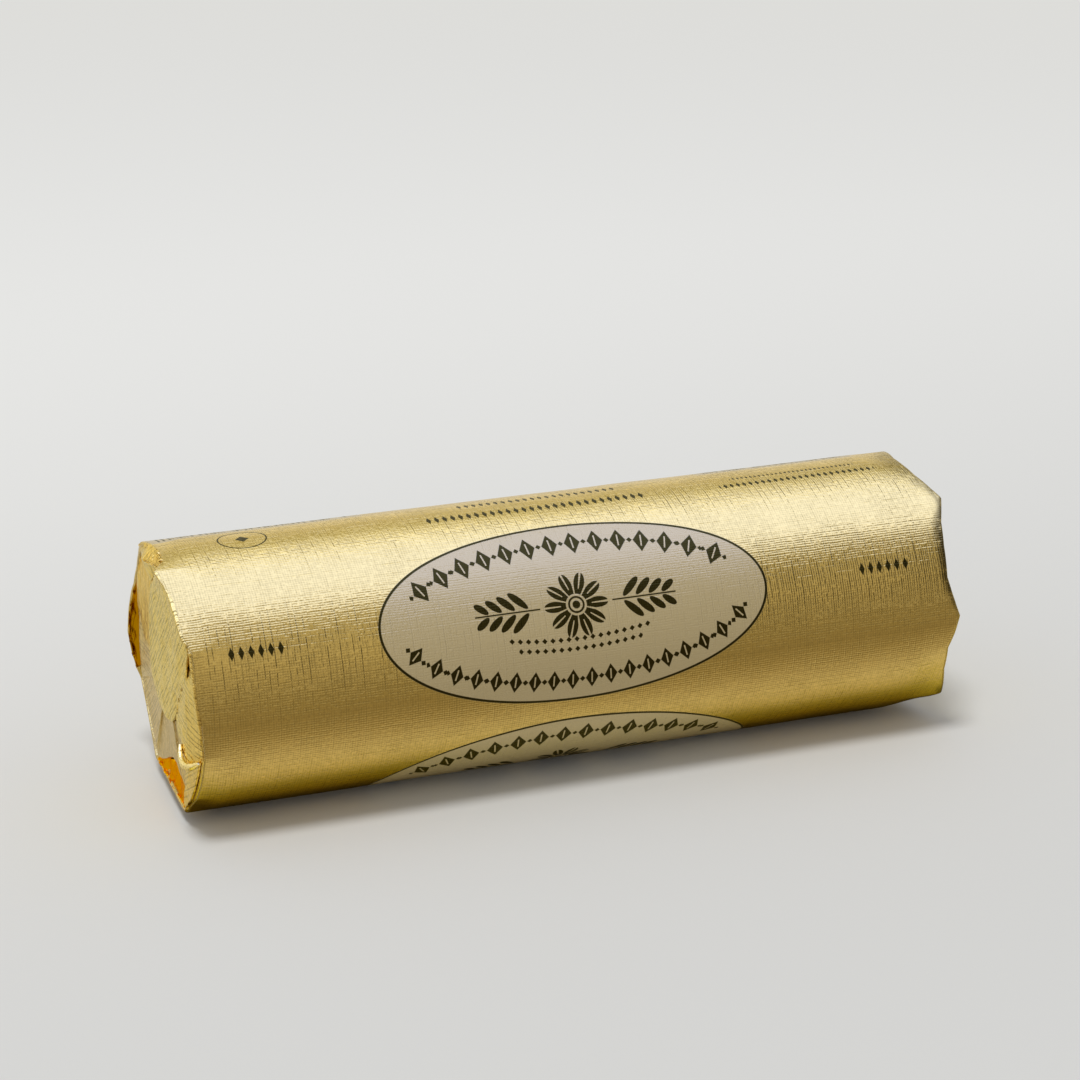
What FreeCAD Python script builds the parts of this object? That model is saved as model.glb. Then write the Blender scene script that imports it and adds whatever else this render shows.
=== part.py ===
# A half-pound-size roll of butter, wrapped in one sheet of foil.
#
# The roll lies along X and rests on a narrow flat strip. Z is up, and the front is -Y.
# The origin is under the middle of the roll, on the surface that it rests on.
# The sheet laps over itself low on the back, and it is folded down at both ends: the round
# barrel turns into a polygon, one pleat leans in from each side of that polygon, and each
# pleat lies on the one folded before it. The foil stands up in a small tip at each corner.
import FreeCAD, Part
import math
import os
import Sketcher
from FreeCAD import Placement, Rotation, Vector

NODE = "wrapped_roll"

# Sizes of the whole roll, in millimetres and degrees: alias, value, what it sets.
ROLL_SIZES = (
    ("roll_diameter", 50.0, "diameter of the round barrel"),
    ("rim_length", 146.0, "length between the two folded rims, without their tips"),
    ("rest_flat_width", 12.0, "width of the strip that the roll rests on"),
    ("taper_length", 11.0, "length over which the barrel turns into the folded polygon"),
    ("face_depth", 1.0, "depth of the folded end below its rim"),
    ("foil_layer", 0.3, "height that each later pleat adds"),
    ("pleat_reach", 31.0, "how far a pleat leans in from its fold line"),
    ("pleat_narrowing", 0.62, "length of a pleat's free edge over its fold line"),
    ("pleat_twist", 9.0, "turn of each pleat towards the one folded next"),
    ("lap_start", 196.0, "where the free edge of the lap lies, from the front over the top"),
    ("lap_angle", 46.0, "part of the turn that the sheet laps over itself"),
    ("lap_step", 0.3, "height of the free edge over the barrel"),
    ("pocket_width", 5.0, "radial width of an open fold at its wide end"),
    ("pocket_depth", 6.0, "depth of an open fold"),
    ("pocket_span", 0.8, "share of its side of the polygon that an open fold takes"),
    ("pocket_throat", 0.3, "size of an open fold's bottom over its mouth"),
)

# The folds of each end, in the order that the pleats are folded down. Each row is one
# corner of the polygon: its angle from the front over the top, how far its tip stands out
# past the rim, and how far the rim sags between it and the next corner.
LEFT_FOLDS = (
    (72.0, 3.5, 2.0),
    (113.0, 2.0, 1.4),
    (160.0, 1.0, 0.7),
    (202.0, 0.4, 0.3),
    (240.0, 0.3, 0.3),
    (298.0, 0.9, 0.4),
    (345.0, 0.2, 0.3),
    (31.0, 1.2, 0.1),
)
RIGHT_FOLDS = (
    (57.0, 3.1, 1.2),
    (105.0, 1.0, 0.8),
    (155.0, 1.8, 1.2),
    (204.0, 0.8, 0.6),
    (249.0, 1.2, 0.6),
    (312.0, 3.5, 2.0),
    (2.0, 2.4, 2.4),
)
# The sides of the polygon, counted from the first row, whose fold stands open.
LEFT_OPEN_FOLDS = (2, 4)
RIGHT_OPEN_FOLDS = (3,)


def fill_sheet(doc):
    """Write every driving size into the spreadsheet, with its alias and its meaning."""
    sheet = doc.addObject("Spreadsheet::Sheet", "sizes")
    rows = list(ROLL_SIZES)
    for end, folds in (("left", LEFT_FOLDS), ("right", RIGHT_FOLDS)):
        for number, (angle, tip, sag) in enumerate(folds, start=1):
            fold = f"{end}_fold_{number}"
            rows.append((f"{fold}_angle", angle, "angle of the corner"))
            rows.append((f"{fold}_tip", tip, "height of the corner's tip over the rim"))
            rows.append((f"{fold}_sag", sag, "sag of the rim after the corner"))
    for row, (alias, value, meaning) in enumerate(rows, start=1):
        sheet.set(f"A{row}", meaning)
        sheet.set(f"B{row}", str(value))
        sheet.setAlias(f"B{row}", alias)
    doc.recompute()
    return sheet


def read_folds(sheet, end, count):
    """The corners of one end, as read back from the spreadsheet."""
    folds = []
    for number in range(1, count + 1):
        fold = f"{end}_fold_{number}"
        folds.append([sheet.get(f"{fold}_{what}") for what in ("angle", "tip", "sag")])
    return folds


def axis_height(sheet):
    """Height of the roll's axis over the surface: the flat strip is a chord of the circle."""
    return math.sqrt(sheet.get("roll_diameter") ** 2 - sheet.get("rest_flat_width") ** 2) / 2


def make_barrel(doc):
    """The round barrel with its flat strip, as a sketch padded both ways from the middle."""
    body = doc.addObject("PartDesign::Body", "barrel")
    plane = next(item for item in body.Origin.OriginFeatures if item.Role == "YZ_Plane")
    sketch = body.newObject("Sketcher::SketchObject", "barrel_profile")
    sketch.AttachmentSupport = [(plane, "")]
    sketch.MapMode = "FlatFace"
    half_flat = ROLL_SIZES[2][1] / 2
    radius = ROLL_SIZES[0][1] / 2
    height = math.sqrt(radius ** 2 - half_flat ** 2)
    turn = math.atan2(-height, half_flat)
    flat = sketch.addGeometry(Part.LineSegment(Vector(-half_flat, 0, 0), Vector(half_flat, 0, 0)))
    circle = Part.Circle(Vector(0, height, 0), Vector(0, 0, 1), radius)
    arc = sketch.addGeometry(Part.ArcOfCircle(circle, turn, math.pi - turn))
    start, end = 1, 2
    origin, horizontal = (-1, 1), -1
    sketch.addConstraint(Sketcher.Constraint("Coincident", flat, end, arc, start))
    sketch.addConstraint(Sketcher.Constraint("Coincident", flat, start, arc, end))
    sketch.addConstraint(Sketcher.Constraint("PointOnObject", flat, start, horizontal))
    sketch.addConstraint(Sketcher.Constraint("Symmetric", flat, start, flat, end, *origin))
    width = sketch.addConstraint(Sketcher.Constraint("Distance", flat, 2 * half_flat))
    round_size = sketch.addConstraint(Sketcher.Constraint("Radius", arc, radius))
    sketch.setExpression(f"Constraints[{width}]", "sizes.rest_flat_width")
    sketch.setExpression(f"Constraints[{round_size}]", "sizes.roll_diameter / 2")
    pad = body.newObject("PartDesign::Pad", "barrel_pad")
    pad.Profile = sketch
    pad.SideType = "Symmetric"
    pad.setExpression("Length", "sizes.rim_length - 2 * (sizes.taper_length + sizes.face_depth)")
    return body


def make_lap(doc, sheet):
    """The strip where the sheet laps over itself: a sector moved out towards its free edge."""
    lap = doc.addObject("Part::Cylinder", "lapped_edge")
    lap.setExpression("Radius", "sizes.roll_diameter / 2")
    lap.setExpression("Angle", "sizes.lap_angle")
    lap.setExpression("Height", "sizes.rim_length - 2 * (sizes.taper_length + sizes.face_depth)")
    along_x = Rotation(Vector(0, 1, 0), 90)
    # After that turn the sector starts straight down and grows towards the back.
    start = Rotation(Vector(1, 0, 0), 270 - sheet.get("lap_start") - sheet.get("lap_angle"))
    lap.Placement = Placement(Vector(0, 0, 0), start * along_x)
    axis = "sqrt(sizes.roll_diameter ^ 2 - sizes.rest_flat_width ^ 2) / 2"
    edge = "(sizes.lap_start * 1 deg)"
    lap.setExpression(
        "Placement.Base.x", "sizes.taper_length + sizes.face_depth - sizes.rim_length / 2")
    lap.setExpression("Placement.Base.y", f"-sizes.lap_step * cos{edge}")
    lap.setExpression("Placement.Base.z", f"{axis} + sizes.lap_step * sin{edge}")
    return lap


def solid_between(ring, other):
    """A solid with two rings of as many points, joined by flat sides."""
    count = len(ring)
    faces = [Part.Face(Part.makePolygon([*points, points[0]])) for points in (ring, other)]
    for this in range(count):
        following = (this + 1) % count
        side = [ring[this], ring[following], other[following], other[this], ring[this]]
        faces.append(Part.Face(Part.makePolygon(side)))
    solid = Part.Solid(Part.Shell(faces))
    if solid.Volume < 0:
        solid.reverse()
    return solid


class FoldedEnd:
    """One end of the roll: the polygon that the barrel turns into, and the pleats on it."""

    def __init__(self, sheet, end, count, open_folds):
        self.side = -1 if end == "left" else 1
        self.folds = read_folds(sheet, end, count)
        self.open_folds = open_folds
        self.radius = sheet.get("roll_diameter") / 2
        self.height = axis_height(sheet)
        self.half_flat = sheet.get("rest_flat_width") / 2
        self.rim = sheet.get("rim_length") / 2
        self.face = self.rim - sheet.get("face_depth")
        self.shoulder = self.face - sheet.get("taper_length")
        self.layer = sheet.get("foil_layer")
        self.reach = sheet.get("pleat_reach")
        self.narrowing = sheet.get("pleat_narrowing")
        self.twist = math.radians(sheet.get("pleat_twist"))
        self.pocket = [sheet.get(f"pocket_{what}") for what in ("width", "depth", "span", "throat")]

    def place(self, along, across, up):
        """A point at a distance along the axis, and across and up from the axis."""
        return Vector(self.side * along, -across, self.height + up)

    def on_circle(self, along, angle):
        turn = math.radians(angle)
        return self.place(along, self.radius * math.cos(turn), self.radius * math.sin(turn))

    def sides(self):
        """Each side of the polygon, as its two corners' rows, in the order of folding."""
        return list(zip(self.folds, self.folds[1:] + self.folds[:1]))

    def taper(self):
        """The solid between the round barrel and the polygon, one ruled face for each side."""
        flat_turn = math.degrees(math.asin(self.half_flat / self.radius))
        flat_angles = (270 - flat_turn, 270 + flat_turn)
        angles = sorted([fold[0] for fold in self.folds] + list(flat_angles))
        corners = sorted(fold[0] for fold in self.folds)
        barrel_edges = []
        rim_points = []
        for first, last in zip(angles, angles[1:] + [angles[0] + 360]):
            start = self.on_circle(self.shoulder, first)
            finish = self.on_circle(self.shoulder, last)
            if (first, last) == flat_angles:
                barrel_edges.append(Part.makeLine(start, finish))
            else:
                middle = self.on_circle(self.shoulder, (first + last) / 2)
                barrel_edges.append(Part.Arc(start, middle, finish).toShape())
            rim_points.append(self.on_polygon(corners, first))
        rim_points.append(rim_points[0])
        return Part.makeLoft([Part.Wire(barrel_edges), Part.makePolygon(rim_points)], True, True)

    def on_polygon(self, corners, angle):
        """The point of the polygon, in the plane of the folded face, at an angle."""
        before = max([corner for corner in corners if corner <= angle], default=corners[-1] - 360)
        after = min([corner for corner in corners if corner > angle], default=corners[0] + 360)
        middle = math.radians((before + after) / 2)
        chord = self.radius * math.cos(math.radians(after - before) / 2)
        turn = math.radians(angle)
        radius = chord / math.cos(turn - middle)
        return self.place(self.face, radius * math.cos(turn), radius * math.sin(turn))

    def pleat(self, number, first, last):
        """One pleat: three facets that lean in from the fold line to its free edge."""
        start = self.on_circle(self.rim + first[1], first[0])
        finish = self.on_circle(self.rim + last[1], last[0])
        middle = (start + finish) * 0.5
        middle.x -= self.side * first[2]
        inward = Vector(0, -middle.y, self.height - middle.z).normalize()
        inward = Rotation(Vector(1, 0, 0), -math.degrees(self.twist)).multVec(inward)
        level = self.face + (number + 1) * self.layer
        free_middle = middle + inward * self.reach
        half_edge = (finish - start) * (self.narrowing / 2)
        free_start = free_middle - half_edge
        free_finish = free_middle + half_edge
        free_start.x = self.side * level
        free_finish.x = self.side * level
        facets = ((start, middle, free_start), (middle, free_finish, free_start),
                  (middle, finish, free_finish))
        return [self.facet_prism(facet) for facet in facets]

    def facet_prism(self, facet):
        """A solid from a sloping facet down to halfway along the taper."""
        foot = self.side * (self.face + self.shoulder) / 2
        return solid_between(facet, [Vector(foot, point.y, point.z) for point in facet])

    def open_fold(self, first, last):
        """The space in a fold that stands open: a three-cornered mouth that narrows inwards."""
        width, depth, span, throat = self.pocket
        start = self.on_circle(self.rim, first[0])
        finish = self.on_circle(self.rim, last[0])
        inward = Vector(0, -(start.y + finish.y) / 2, self.height - (start.z + finish.z) / 2)
        inward.normalize()
        # Foil as thick as two layers stands outside the mouth.
        narrow = start + (finish - start) * ((1 - span) / 2) + inward * (2 * self.layer)
        wide = narrow + (finish - start) * span
        mouth = [narrow, wide, wide + inward * width]
        bottom = [wide + (point - wide) * throat for point in mouth]
        for point in mouth:
            point.x = self.side * (self.rim + max(first[1], last[1]))
        for point in bottom:
            point.x = self.side * (self.rim - depth)
        return solid_between(mouth, bottom)

    def shape(self):
        pleats = []
        for number, (first, last) in enumerate(self.sides()):
            pleats += self.pleat(number, first, last)
        solid = self.taper().multiFuse(pleats)
        for number in self.open_folds:
            solid = solid.cut(self.open_fold(*self.sides()[number]))
        return solid.removeSplitter()


def make_end(doc, sheet, end, count, open_folds):
    feature = doc.addObject("Part::Feature", f"{end}_folds")
    feature.Shape = FoldedEnd(sheet, end, count, open_folds).shape()
    feature.Placement = Placement()
    return feature


def check(doc, roll):
    """Stop if any object failed, or if the roll isn't one sound solid."""
    for item in doc.Objects:
        if "Invalid" in item.State or "Error" in item.State:
            raise RuntimeError(f"{item.Label} failed: {item.State}")
    shape = roll.Shape
    if shape.isNull() or not shape.isValid() or len(shape.Solids) != 1:
        raise RuntimeError(f"{roll.Label} is not one valid solid")


def main():
    doc = FreeCAD.newDocument("butter_roll")
    sheet = fill_sheet(doc)
    pieces = [
        make_barrel(doc),
        make_lap(doc, sheet),
        make_end(doc, sheet, "left", len(LEFT_FOLDS), LEFT_OPEN_FOLDS),
        make_end(doc, sheet, "right", len(RIGHT_FOLDS), RIGHT_OPEN_FOLDS),
    ]
    roll = doc.addObject("Part::MultiFuse", NODE)
    roll.Shapes = pieces
    roll.Refine = True
    roll.Label = NODE
    roll.Placement = Placement()
    doc.recompute()
    check(doc, roll)
    os.makedirs("parts", exist_ok=True)
    roll.Shape.exportStep(f"parts/{NODE}.step")
    box = roll.Shape.optimalBoundingBox(False)
    print(f"{NODE}: volume {roll.Shape.Volume / 1000:.1f} ml, faces {len(roll.Shape.Faces)}")
    print(f"box {box.XMin:.2f} {box.XMax:.2f} {box.YMin:.2f} {box.YMax:.2f} {box.ZMin:.2f} {box.ZMax:.2f}")


main()
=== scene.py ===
"""A roll of butter in gold foil: the looks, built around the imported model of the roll."""

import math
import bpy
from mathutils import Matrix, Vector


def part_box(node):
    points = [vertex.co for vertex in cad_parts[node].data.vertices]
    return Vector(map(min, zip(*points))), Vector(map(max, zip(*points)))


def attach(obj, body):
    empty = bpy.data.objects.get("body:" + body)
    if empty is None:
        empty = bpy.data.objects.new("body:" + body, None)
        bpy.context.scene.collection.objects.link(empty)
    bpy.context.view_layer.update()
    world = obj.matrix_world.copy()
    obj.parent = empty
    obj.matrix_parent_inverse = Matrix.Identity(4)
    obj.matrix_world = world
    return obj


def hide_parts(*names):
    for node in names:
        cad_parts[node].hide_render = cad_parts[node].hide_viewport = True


bl_info = {
    "name": "Foil-wrapped butter roll",
    "version": (1, 0, 0),
    "blender": (4, 5, 0),
    "location": "3D View > Sidebar > Butter Roll",
    "description": "Builds the embossed foil, its folds and its print around the roll's frame",
    "category": "Object",
}

from collections import namedtuple
from functools import reduce
from types import SimpleNamespace

import bmesh
import bpy
import numpy as np
from bpy.props import FloatProperty, FloatVectorProperty, IntProperty, PointerProperty
from mathutils import Vector

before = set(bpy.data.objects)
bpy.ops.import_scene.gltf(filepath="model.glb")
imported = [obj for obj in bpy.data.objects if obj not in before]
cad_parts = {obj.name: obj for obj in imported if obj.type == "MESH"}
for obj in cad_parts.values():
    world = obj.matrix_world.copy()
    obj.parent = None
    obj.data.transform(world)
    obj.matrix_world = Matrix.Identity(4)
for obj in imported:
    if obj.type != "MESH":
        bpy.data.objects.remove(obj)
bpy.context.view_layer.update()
NODE = "wrapped_roll"
LOW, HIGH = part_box(NODE)

MM = 0.001
RADIUS = (HIGH.y - LOW.y) / 2 / MM
AXIS = HIGH.z / MM - RADIUS

# Names of what each point of the foil carries: its place on the flat sheet in millimetres,
# how much painted amber it has there, which stands for light bounced round inside the gold's
# folds, and how much painted shade darkens its folded rim.
SHEET = "sheet_mm"
TINT = "fold_depth"
PAINTED_RIM_ATTRIBUTE = "rim_shade"


# ---------------------------------------------------------------------------
# The shape of both ends, in millimetres, and in degrees from the front over the top
# ---------------------------------------------------------------------------

# The corners of each folded end.
LEFT_CORNERS = (72, 113, 160, 202, 240, 298, 345, 31)
RIGHT_CORNERS = (57, 105, 155, 204, 249, 312, 2)

# The edge of each end: angle, how far out the foil's edge stands, and the width and depth of the
# hollow that lies just inside that edge.
LEFT_EDGE = (
    (-158, 73.2, 1.5, 0.4), (-140, 73.2, 1.5, 0.3), (-120, 73.3, 2.5, 0.6),
    (-117, 73.3, 1.0, 0.4), (-108, 73.3, 2.2, 1.2), (-92, 73.5, 4.8, 1.9), (-78, 73.6, 6.6, 2.0),
    (-67, 73.7, 7.2, 1.7), (-60, 73.6, 5.5, 1.1), (-54, 73.4, 2.2, 0.8), (-44, 73.2, 1.4, 1.1),
    (-30, 73.0, 1.2, 0.6), (-15, 72.9, 1.2, 0.1), (4, 73.5, 1.0, 0.1), (10, 73.7, 2.0, 0.9),
    (18, 73.9, 2.6, 1.8), (27, 73.8, 2.6, 1.7), (33, 74.0, 1.2, 0.4), (38, 74.9, 1.0, 0.0),
    (55, 75.1, 1.0, 0.0), (64, 75.6, 1.0, 0.0), (72, 76.5, 1.0, 0.1), (79, 74.6, 1.5, 0.8),
    (90, 73.8, 1.5, 1.0), (103, 74.2, 1.6, 0.7), (113, 75.0, 1.8, 0.6), (128, 74.2, 1.6, 0.6),
    (142, 73.7, 2.5, 1.4), (155, 73.8, 3.4, 2.2), (168, 74.6, 4.0, 2.8), (180, 75.0, 3.6, 2.6),
    (190, 74.5, 3.0, 1.9), (198, 73.8, 1.8, 0.8),
)
RIGHT_EDGE = (
    (-165, 74.0, 2.0, 0.8), (-150, 73.4, 1.5, 0.5), (-130, 73.2, 1.5, 0.6),
    (-111, 74.2, 2.0, 1.2), (-95, 73.5, 1.5, 0.7), (-75, 73.8, 1.5, 0.6), (-58, 75.6, 1.6, 0.8),
    (-48, 76.5, 1.6, 0.8), (-40, 75.7, 1.6, 0.6), (-28, 74.4, 1.5, 0.5), (-14, 73.7, 1.2, 0.4),
    (-6, 74.7, 1.2, 0.5), (2, 75.4, 1.4, 0.6), (7, 74.6, 1.2, 0.5), (13, 73.8, 1.2, 0.4),
    (20, 73.1, 1.2, 0.3), (34, 73.5, 1.2, 0.3), (45, 74.2, 1.2, 0.3), (51, 75.1, 1.2, 0.4),
    (57, 76.0, 1.4, 0.6), (63, 75.0, 1.4, 0.5), (74, 73.6, 1.5, 0.4), (83, 73.2, 1.5, 0.4),
    (92, 73.0, 1.5, 0.4), (100, 73.7, 1.5, 0.6), (106, 74.0, 1.6, 0.6), (120, 73.6, 2.0, 1.0),
    (140, 74.2, 3.5, 2.4), (155, 75.0, 3.6, 2.8), (170, 74.2, 2.5, 1.6),
)

# How much the wall turns flat between the corners: angle and share.
LEFT_FLATS = (
    (-158, 1.0), (-60, 1.0), (-54, 0.7), (-44, 0.3), (190, 0.3), (198, 0.6),
)
RIGHT_FLATS = (
    (-165, 0.8), (-75, 0.8), (-58, 0.3), (-28, 0.3), (-14, 0.15), (2, 0.15), (7, 0.05),
    (57, 0.05), (63, 0.18), (106, 0.18), (120, 0.35), (170, 0.35),
)

# How much painted amber the hollow inside the edge has, standing for light bounced round in
# it: angle and share.
LEFT_PAINTED_AMBERS = (
    (-120, 0), (-117, 0.5), (-108, 1), (-60, 1), (-54, 0), (142, 0), (155, 0.5), (168, 1),
    (190, 1), (198, 0),
)
RIGHT_PAINTED_AMBERS = (
    (120, 0), (140, 0.7), (155, 0.7), (170, 0),
)

# Where painted shade darkens the right end's folded rim: angle, how wide along the wall, how dark.
RIGHT_RIM_PAINTED_SHADE = (
    (-70, 1.0, 0.0), (-56, 1.6, 0.8), (-46, 2.4, 1.0), (-38, 1.2, 0.4), (-30, 1.0, 0.0),
    (-2, 0.8, 0.0), (6, 1.0, 0.7), (14, 1.5, 1.0), (30, 2.0, 1.0), (42, 2.4, 1.0), (52, 1.3, 1.0),
    (60, 2.0, 0.7), (75, 3.5, 0.5), (92, 4.5, 0.5), (108, 3.0, 0.5), (130, 1.5, 0.0),
)

# A flap of a folded end: its name, the line of its rounded fold, its inner edge, the radius of
# its fold, how far the linen is turned on it, how much painted amber it has, how deep its
# crumples are, and its first and last edges where they aren't straight. The painted amber stands
# for light bounced round inside the gold's folds. Above 1, it is the deep foil of an open fold,
# darkened further by painted shade. A point is how far it lies towards the front, up from the
# axis, and out from the middle of the roll. Where it has one number it lies at that angle on the
# foil's edge, and where it has two, the second is how far inside the edge it lies.
Flap = namedtuple("Flap", "name fold inner bend turned amber crumple first last",
                  defaults=(None, None))
LEFT_FLAPS = (
    Flap("left_back_facet",
         ((-19.0, -2.0, 73.4), (-20.6, 5.0, 73.6), (-19.2, 12.6, 73.9), (-14.0, 18.6, 74.0)),
         ((-8.0, -3.0, 73.3), (-7.5, 4.0, 73.3), (-6.0, 10.0, 73.4), (-4.0, 16.0, 73.5)),
         0.35, 20, 0.35, 0.5),
    Flap("left_lower_pleat",
         ((23.3, -6.6, 73.3), (21.2, -11.6, 73.5), (17.4, -16.6, 73.6), (12.9, -20.9, 73.7)),
         ((10.0, -7.0, 73.5), (12.5, -10.0, 73.6), (13.6, -13.5, 73.7), (11.6, -20.2, 73.7)),
         0.4, 60, 0.15, 0.7),
    Flap("left_front_flap",
         ((31,), (24,), (16,), (8,), (0,), (-8,), (-16,)),
         ((14.0, 10.0, 73.8), (10.0, 2.0, 73.8), (7.0, -5.0, 73.9), (13.4, -7.7, 74.3)),
         0.45, 95, 0.06, 0.8,
         last=((24.2, -6.9, 73.0), (21.6, -8.2, 74.2), (19.1, -8.8, 74.6), (16.0, -8.0, 74.5),
               (13.4, -7.7, 74.2))),
    Flap("left_top_flap",
         ((72,), (66,), (60,), (54,), (48,), (42,), (37,), (33,), (21.0, 10.6, 74.5),
          (20.2, 8.6, 74.3), (18.9, 6.3, 74.05)),
         ((-6.8, 15.5, 74.0), (-9.2, 7.0, 74.1), (-10.1, -1.6, 74.0), (-7.4, -5.6, 73.8),
          (-3.3, -7.7, 73.75), (2.0, -7.8, 73.75), (6.1, -6.6, 73.75), (11.0, -1.0, 73.7),
          (15.2, 4.0, 73.7)),
         0.55, 48, 0.0, 0.8,
         first=((7.7, 23.7, 76.5), (2.0, 20.6, 75.2), (-3.0, 17.8, 74.5), (-6.8, 15.5, 74.1))),
    Flap("left_dog_ear",
         ((117,), (110,), (103,), (96,), (88,), (80,)),
         ((-10.5, 20.5, 74.5), (-6.5, 21.3, 75.5), (-2.3, 22.5, 76.2), (0.8, 22.3, 74.6),
          (3.6, 22.0, 74.3)),
         0.35, 10, 0.2, 1.0),
    Flap("left_ear_fold",
         ((-10.6, 20.4, 74.5), (-6.5, 21.2, 75.5), (-2.3, 22.4, 76.2), (0.8, 22.2, 74.6),
          (3.6, 21.9, 74.3)),
         ((-10.2, 19.0, 74.1), (-8.6, 17.4, 74.1), (-7.0, 15.8, 74.1), (-4.5, 17.6, 74.1),
          (-1.5, 19.8, 74.1), (2.6, 21.6, 74.1)),
         0.25, 35, 0.1, 0.8),
    Flap("left_low_pocket",
         ((-10.4, -20.9, 73.3), (-4.0, -21.3, 73.3), (4.0, -21.4, 73.35), (11.2, -21.2, 73.4)),
         ((-9.8, -19.8, 72.9), (-3.0, -17.6, 72.6), (3.5, -15.4, 72.6), (10.0, -12.9, 73.3)),
         0.2, 30, 1.0, 1.5,
         last=((11.2, -21.2, 73.4), (11.9, -18.0, 73.2), (11.2, -15.0, 73.2),
               (10.0, -12.9, 73.3))),
    Flap("left_back_pocket",
         ((150, 0.9), (158, 0.9), (166, 0.9), (174, 0.9), (182, 0.9), (190, 0.9), (197, 0.9)),
         ((-17.0, 9.6, 73.2), (-18.6, 5.4, 72.9), (-19.4, 0.4, 72.8), (-19.0, -4.6, 73.1)),
         0.2, 15, 1.8, 1.2),
)
RIGHT_FLAPS = (
    Flap("right_back_facet",
         ((-19.01, -8.78, 73.15), (-21.45, 0, 73.45), (-19.7, 7.8, 73.45), (-15.11, 15.6, 73.25)),
         ((-6, -8, 73.3), (-8, 0, 73.4), (-7, 7, 73.4), (-5, 13, 73.4)),
         0.4, -25, 0, 0.7),
    Flap("right_lower_pleat",
         ((-12, 0.5), (-24, 0.5), (-37, 0.5), (-49, 0.5), (-62, 0.5)),
         ((5, -6, 73.4), (6, -9, 73.5), (5, -12, 73.5), (3, -15, 73.5), (1, -18, 73.4)),
         0.5, -50, 0.1, 0.9),
    Flap("right_front_flap",
         ((56, 0.5), (46, 0.5), (34, 0.5), (22, 0.5), (12, 0.5), (3, 0.5), (-4, 0.5)),
         ((3, 9, 73.7), (2, 4, 73.8), (0, 0, 73.8), (2, -4, 73.8), (6, -6.5, 73.8),
          (11, -7, 73.9)),
         0.6, -60, 0, 1,
         last=((-4, 0.5), (20.0, -5.88, 74.2), (15.68, -8.23, 74.1), (11.0, -7.0, 73.9))),
    Flap("right_top_flap",
         ((110, 0.5), (99, 0.5), (88, 0.5), (76, 0.5), (65, 0.5), (57, 0.5)),
         ((-10, 9, 73.9), (-7, 4, 74), (-3, 1, 74.1), (2, 2, 74.1), (6, 6, 74.1),
          (9.5, 12, 74.3)),
         0.6, -35, 0, 1.2),
)

End = namedtuple("End", "side corners edge flats ambers flaps")
LEFT = End(-1, LEFT_CORNERS, LEFT_EDGE, LEFT_FLATS, LEFT_PAINTED_AMBERS, LEFT_FLAPS)
RIGHT = End(1, RIGHT_CORNERS, RIGHT_EDGE, RIGHT_FLATS, RIGHT_PAINTED_AMBERS, RIGHT_FLAPS)

# Free edges that curl into a thin roll: name, end, line and thickness.
CURLS = (
    ("left_curl", LEFT, ((24.2, -6.9, 73.7), (22.0, -8.5, 74.7), (19.1, -9.3, 75.1),
                         (16.4, -8.9, 75.1), (15.0, -6.9, 74.7)), 0.75),
    ("right_curl", RIGHT, ((22.6, -2.6, 74.2), (20.0, -6.1, 74.5), (16.0, -8.5, 74.5),
                           (11.0, -7.1, 74.1)), 0.5),
)


# ---------------------------------------------------------------------------
# Sizes and colours that a user would change
# ---------------------------------------------------------------------------

def length_prop(name, description, millimetres):
    """A length, which is given here in millimetres and kept in metres."""
    return FloatProperty(name=name, description=description, default=millimetres * MM,
                         subtype="DISTANCE", precision=5)


def angle_prop(name, description, degrees):
    """An angle, which is given here in degrees and kept in radians."""
    return FloatProperty(name=name, description=description, default=math.radians(degrees),
                         subtype="ANGLE")


def share_prop(name, description, default):
    """A share from 0 to 1."""
    return FloatProperty(name=name, description=description, default=default,
                         subtype="FACTOR", min=0.0, max=1.0)


def colour_prop(name, description, default):
    return FloatVectorProperty(name=name, description=description, default=default,
                               subtype="COLOR", min=0.0, max=1.0)


class RollWrapSettings(bpy.types.PropertyGroup):
    """The foil around the roll."""

    columns: IntProperty(name="Columns", description="Faces around the roll", default=480, min=48)
    left_taper: length_prop("Left taper", "Length over which the left end turns cornered", 6.0)
    right_taper: length_prop("Right taper", "Length over which the right end turns cornered", 8.0)
    edge_radius: length_prop("Edge radius", "Roundness of the foil's folded edge", 0.6)
    face_level: length_prop("Face level", "How far out the folded face lies, from the middle", 73.3)
    pleat_step: length_prop("Pleat step", "How far each side's fold dips under the next one", 0.25)
    lap_start: angle_prop("Lap start", "Where the sheet's free edge lies", 196.0)
    lap_angle: angle_prop("Lap angle", "Part of the turn that the sheet laps over", 46.0)
    lap_step: length_prop("Lap step", "Height of the free edge over the wall", 0.28)
    dent_size: length_prop("Dent size", "Size of the soft dents in the wall", 22.0)
    dent_depth: length_prop("Dent depth", "Depth of the soft dents in the wall", 0.16)


class RollFoldSettings(bpy.types.PropertyGroup):
    """The flaps of the folded ends."""

    thickness: length_prop("Thickness", "Thickness of a folded flap", 0.3)
    crumple_size: length_prop("Crumple size", "Size of the crumples in the folds", 4.5)
    crumple_depth: length_prop("Crumple depth", "Depth of the crumples in the folds", 0.32)


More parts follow.
